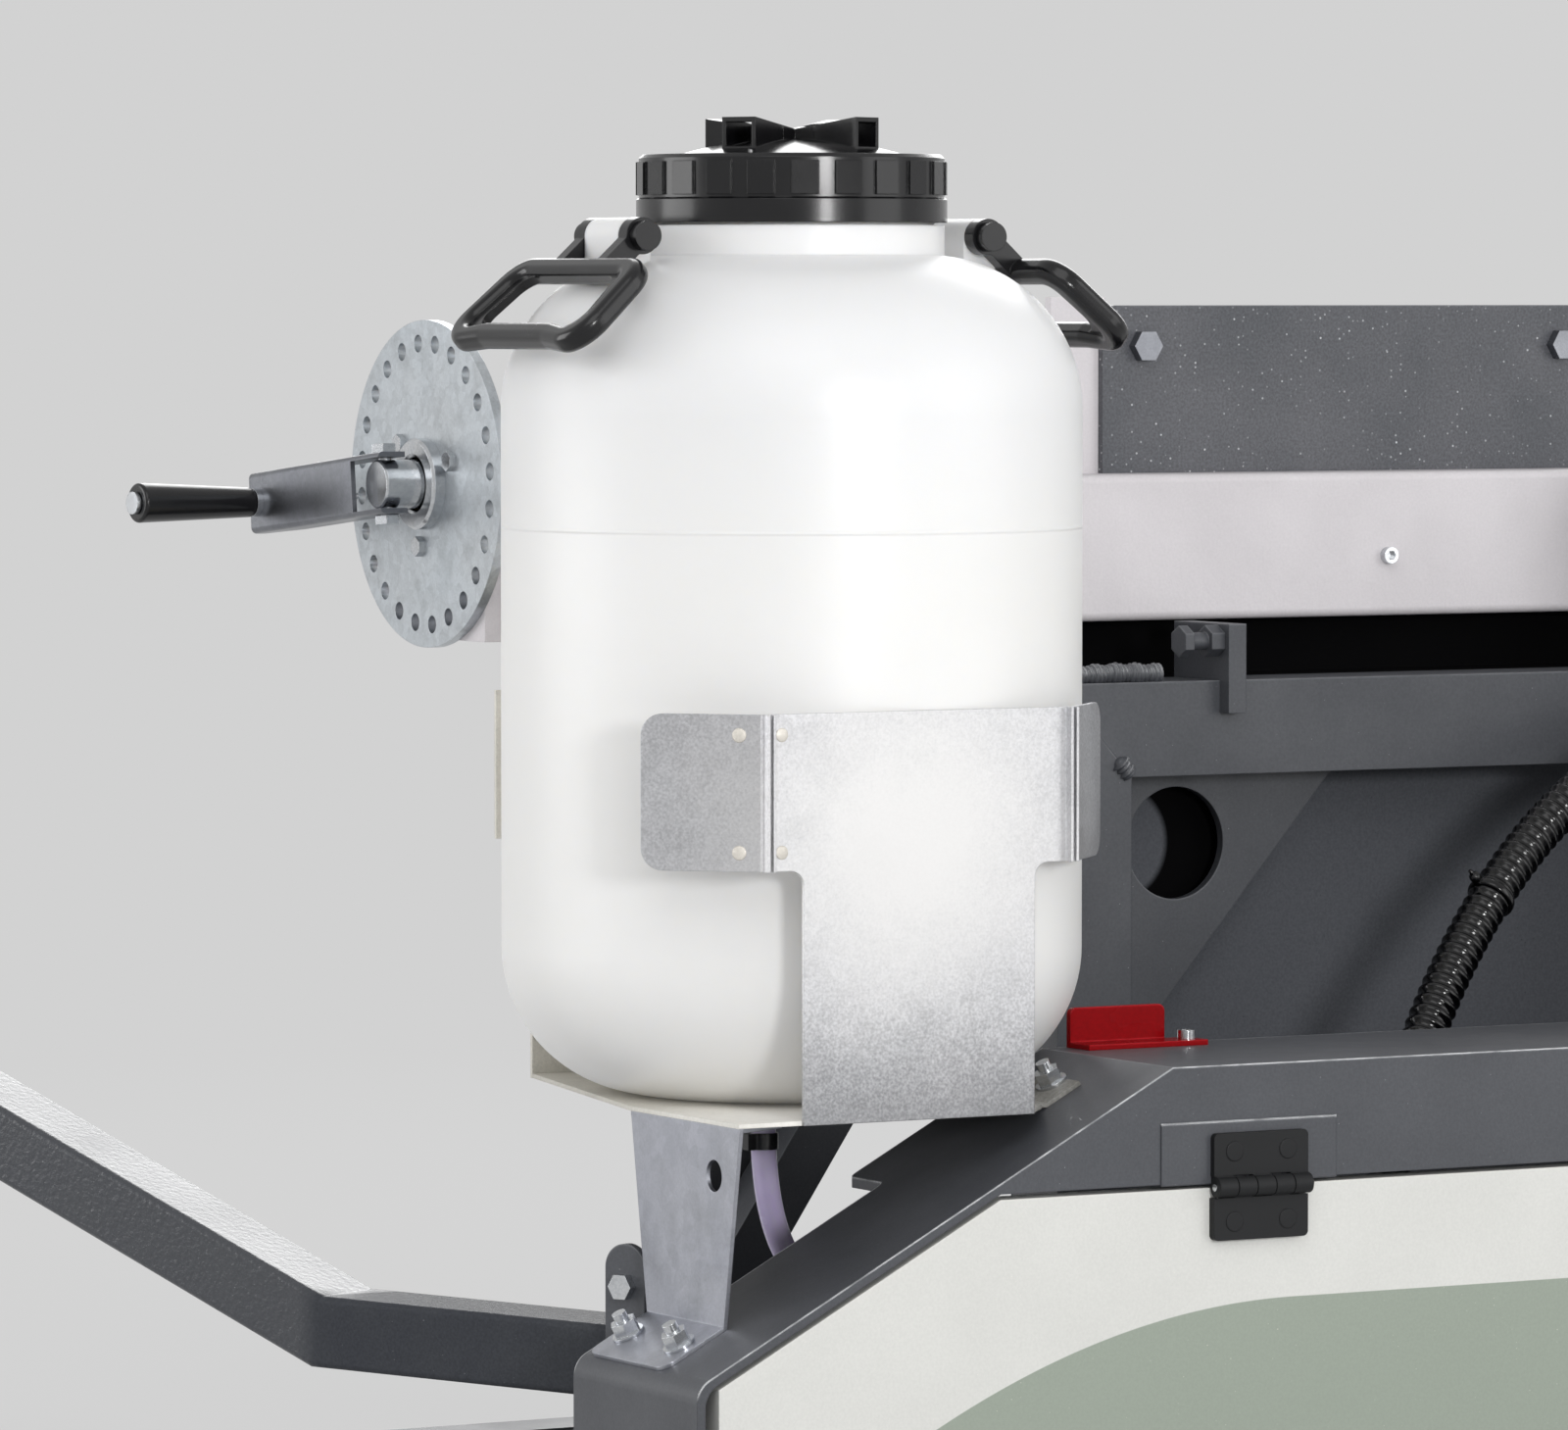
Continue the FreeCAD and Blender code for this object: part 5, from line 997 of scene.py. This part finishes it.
    def tie_conduit(self, places: Places, finishes: Finishes) -> None:
        """Put a cable tie round the conduit at one of its places."""
        place, heading = places[round(len(places) * self.tie_at)]
        rim = self.conduit_radius + self.tie_rise
        low_rim = rim - self.tie_edge
        half = self.tie_width / 2
        inside = self.conduit_root
        profile = [(inside, -half), (low_rim, -half), (rim, -half * 0.5), (rim, half * 0.5), (low_rim, half),
                   (inside, half), (inside, -half)]
        mesh = bmesh.new()
        add_turned(mesh, profile, place, heading, self.tie_sides)
        across = heading.cross(Vector((0, 1, 0))).normalized()
        head = place - across * (rim - self.head_sink)
        add_turned(mesh, [(r * MM, h * MM) for r, h in self.head_mm], head, -across, self.head_sides)
        tail = [(head - across * (reach * MM), -across) for reach, _ in self.tail_mm]
        add_tube(mesh, tail, [radius * MM for _, radius in self.tail_mm], 0.0, self.head_sides)
        piece(mesh, "conduit_tie", "machine", Slot.CONDUIT, finishes.of[Slot.CONDUIT])

    def lay_conduit(self, finishes: Finishes) -> None:
        """Lay the ribbed conduit along its route."""
        line = self.conduit.line()
        shoulder = self.conduit_radius * self.rib_shoulder
        rib = (self.conduit_root, self.conduit_root, shoulder, self.conduit_radius, shoulder, self.conduit_root)
        places = walk(line, self.conduit_pitch / len(rib))
        mesh = bmesh.new()
        radii = [rib[i % len(rib)] for i in range(len(places))]
        add_tube(mesh, places, radii, self.conduit_bore, self.conduit_sides)
        made = piece(mesh, "cable_conduit", "machine", Slot.CONDUIT, finishes.of[Slot.CONDUIT])
        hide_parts("conduit")
        tuple(line[0])
        line_length(line)
        self.tie_conduit(places, finishes)


@dataclass(frozen=True)
class Lamp:
    """A square lamp: where it hangs and how wide it is, in metres, and its power in watts."""

    name: str
    place: Triple
    width: float
    power: float


@dataclass
class Studio:
    """The floor, the lights, the pale surround and the camera."""

    backdrop: str = "#D2D2D2"
    ambient: float = 0.50
    floor_half: float = 60.0
    floor_drop: float = 0.5 * MM
    shadow_reach: Pair = (1.0, 3.0)
    shadow_clear: float = 0.8
    lamp_target: Triple = (-0.15, 0.0, 0.45)
    lamps: tuple[Lamp, ...] = (
        Lamp("key", (-1.6, -2.2, 3.0), 2.6, 30.0), Lamp("front", (-0.52, -3.7, 1.03), 0.55, 46.0),
        Lamp("fill", (2.4, -3.0, 1.4), 2.4, 28.0), Lamp("rim", (-2.8, 1.6, 1.1), 1.8, 34.0),
        Lamp("back", (1.6, 2.5, 2.1), 2.4, 62.0))
    stand_deg: float = 29.5
    heading_deg: float = 29.45
    distance: float = 4.7704
    height: float = 0.6837
    pitch_deg: float = 2.763
    focal_px: float = 8900.0
    sensor_mm: float = 36.0
    sight: float = 200.0

    def build(self) -> None:
        """Make the whole studio."""
        self.lay_floor()
        self.light_world()
        self.hang_lamps()
        self.place_camera()

    def lay_floor(self) -> None:
        """Lay a wide floor that takes shadows near the part and reads as the backdrop's grey."""
        mesh = bmesh.new()
        bmesh.ops.create_grid(mesh, x_segments=1, y_segments=1, size=self.floor_half)
        data = bpy.data.meshes.new("studio_floor")
        mesh.to_mesh(data)
        mesh.free()
        floor = bpy.data.objects.new("studio_floor", data)
        floor.location.z = -self.floor_drop
        bpy.context.scene.collection.objects.link(floor)
        material = bpy.data.materials.new("floor_paper")
        material.use_nodes = True
        tree = material.node_tree
        tree.nodes.clear()
        paper = add_node(tree, "BsdfDiffuse", {"Color": linear(self.backdrop)}).outputs[0]
        glow = add_node(tree, "Emission", {"Color": linear(self.backdrop), "Strength": 1.0}).outputs[0]
        where = add_node(tree, "TexCoord").outputs["Object"]
        far = add_node(tree, "VectorMath", {0: where}, operation="LENGTH").outputs["Value"]
        fade = ramp(tree, far, *self.shadow_reach, self.shadow_clear)
        share = maths(tree, MULTIPLY, backdrop_rays(tree), fade)
        both = add_node(tree, "MixShader", {0: share, 1: paper, 2: glow})
        add_node(tree, "OutputMaterial", {"Surface": both.outputs[0]})
        data.materials.append(material)

    def light_world(self) -> None:
        """Light everything softly, and show the backdrop's grey behind the part."""
        world = bpy.data.worlds.new("studio_world")
        bpy.context.scene.world = world
        world.use_nodes = True
        tree = world.node_tree
        tree.nodes.clear()
        soft = add_node(tree, "Background", {"Color": linear("#FFFFFF"), "Strength": self.ambient})
        shown = add_node(tree, "Background", {"Color": linear(self.backdrop), "Strength": 1.0})
        both = add_node(tree, "MixShader", {0: backdrop_rays(tree), 1: soft.outputs[0], 2: shown.outputs[0]})
        add_node(tree, "OutputWorld", {"Surface": both.outputs[0]})

    def hang_lamps(self) -> None:
        """Hang a large key overhead, a small front lamp, a front fill, a side panel and a panel behind."""
        target = Vector(self.lamp_target)
        for lamp in self.lamps:
            name = "studio_" + lamp.name
            data = bpy.data.lights.new(name, "AREA")
            data.shape = "SQUARE"
            data.size = lamp.width
            data.energy = lamp.power
            made = bpy.data.objects.new(name, data)
            made.location = lamp.place
            made.rotation_mode = "QUATERNION"
            made.rotation_quaternion = (target - Vector(lamp.place)).to_track_quat("-Z", "Y")
            bpy.context.scene.collection.objects.link(made)

    def place_camera(self) -> None:
        """Stand the camera where the photograph was taken from."""
        heading = math.radians(self.stand_deg)
        left = math.sin(heading) * self.distance
        near = math.cos(heading) * self.distance
        data = bpy.data.cameras.new("studio_camera")
        data.sensor_width = self.sensor_mm
        data.lens = self.focal_px / PHOTO_WIDTH * self.sensor_mm
        data.clip_end = self.sight
        camera = bpy.data.objects.new("studio_camera", data)
        camera.location = (TANK_AXIS.x - left, TANK_AXIS.y - near, self.height)
        camera.rotation_euler = (math.radians(90.0 - self.pitch_deg), 0.0, -math.radians(self.heading_deg))
        bpy.context.scene.collection.objects.link(camera)
        bpy.context.scene.camera = camera


def main() -> None:
    """Load the frame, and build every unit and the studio."""
    logging.basicConfig(level=logging.INFO, format="%(name)s: %(message)s")
    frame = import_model()
    bpy.context.scene.view_settings.view_transform = "Standard"
    finishes = Finishes()
    for unit in (TankUnit(), CradleUnit(), CrankUnit(), FrameUnit()):
        unit.build(frame["nodes"], finishes)
    Studio().build()


if __name__ == "__main__":
    main()
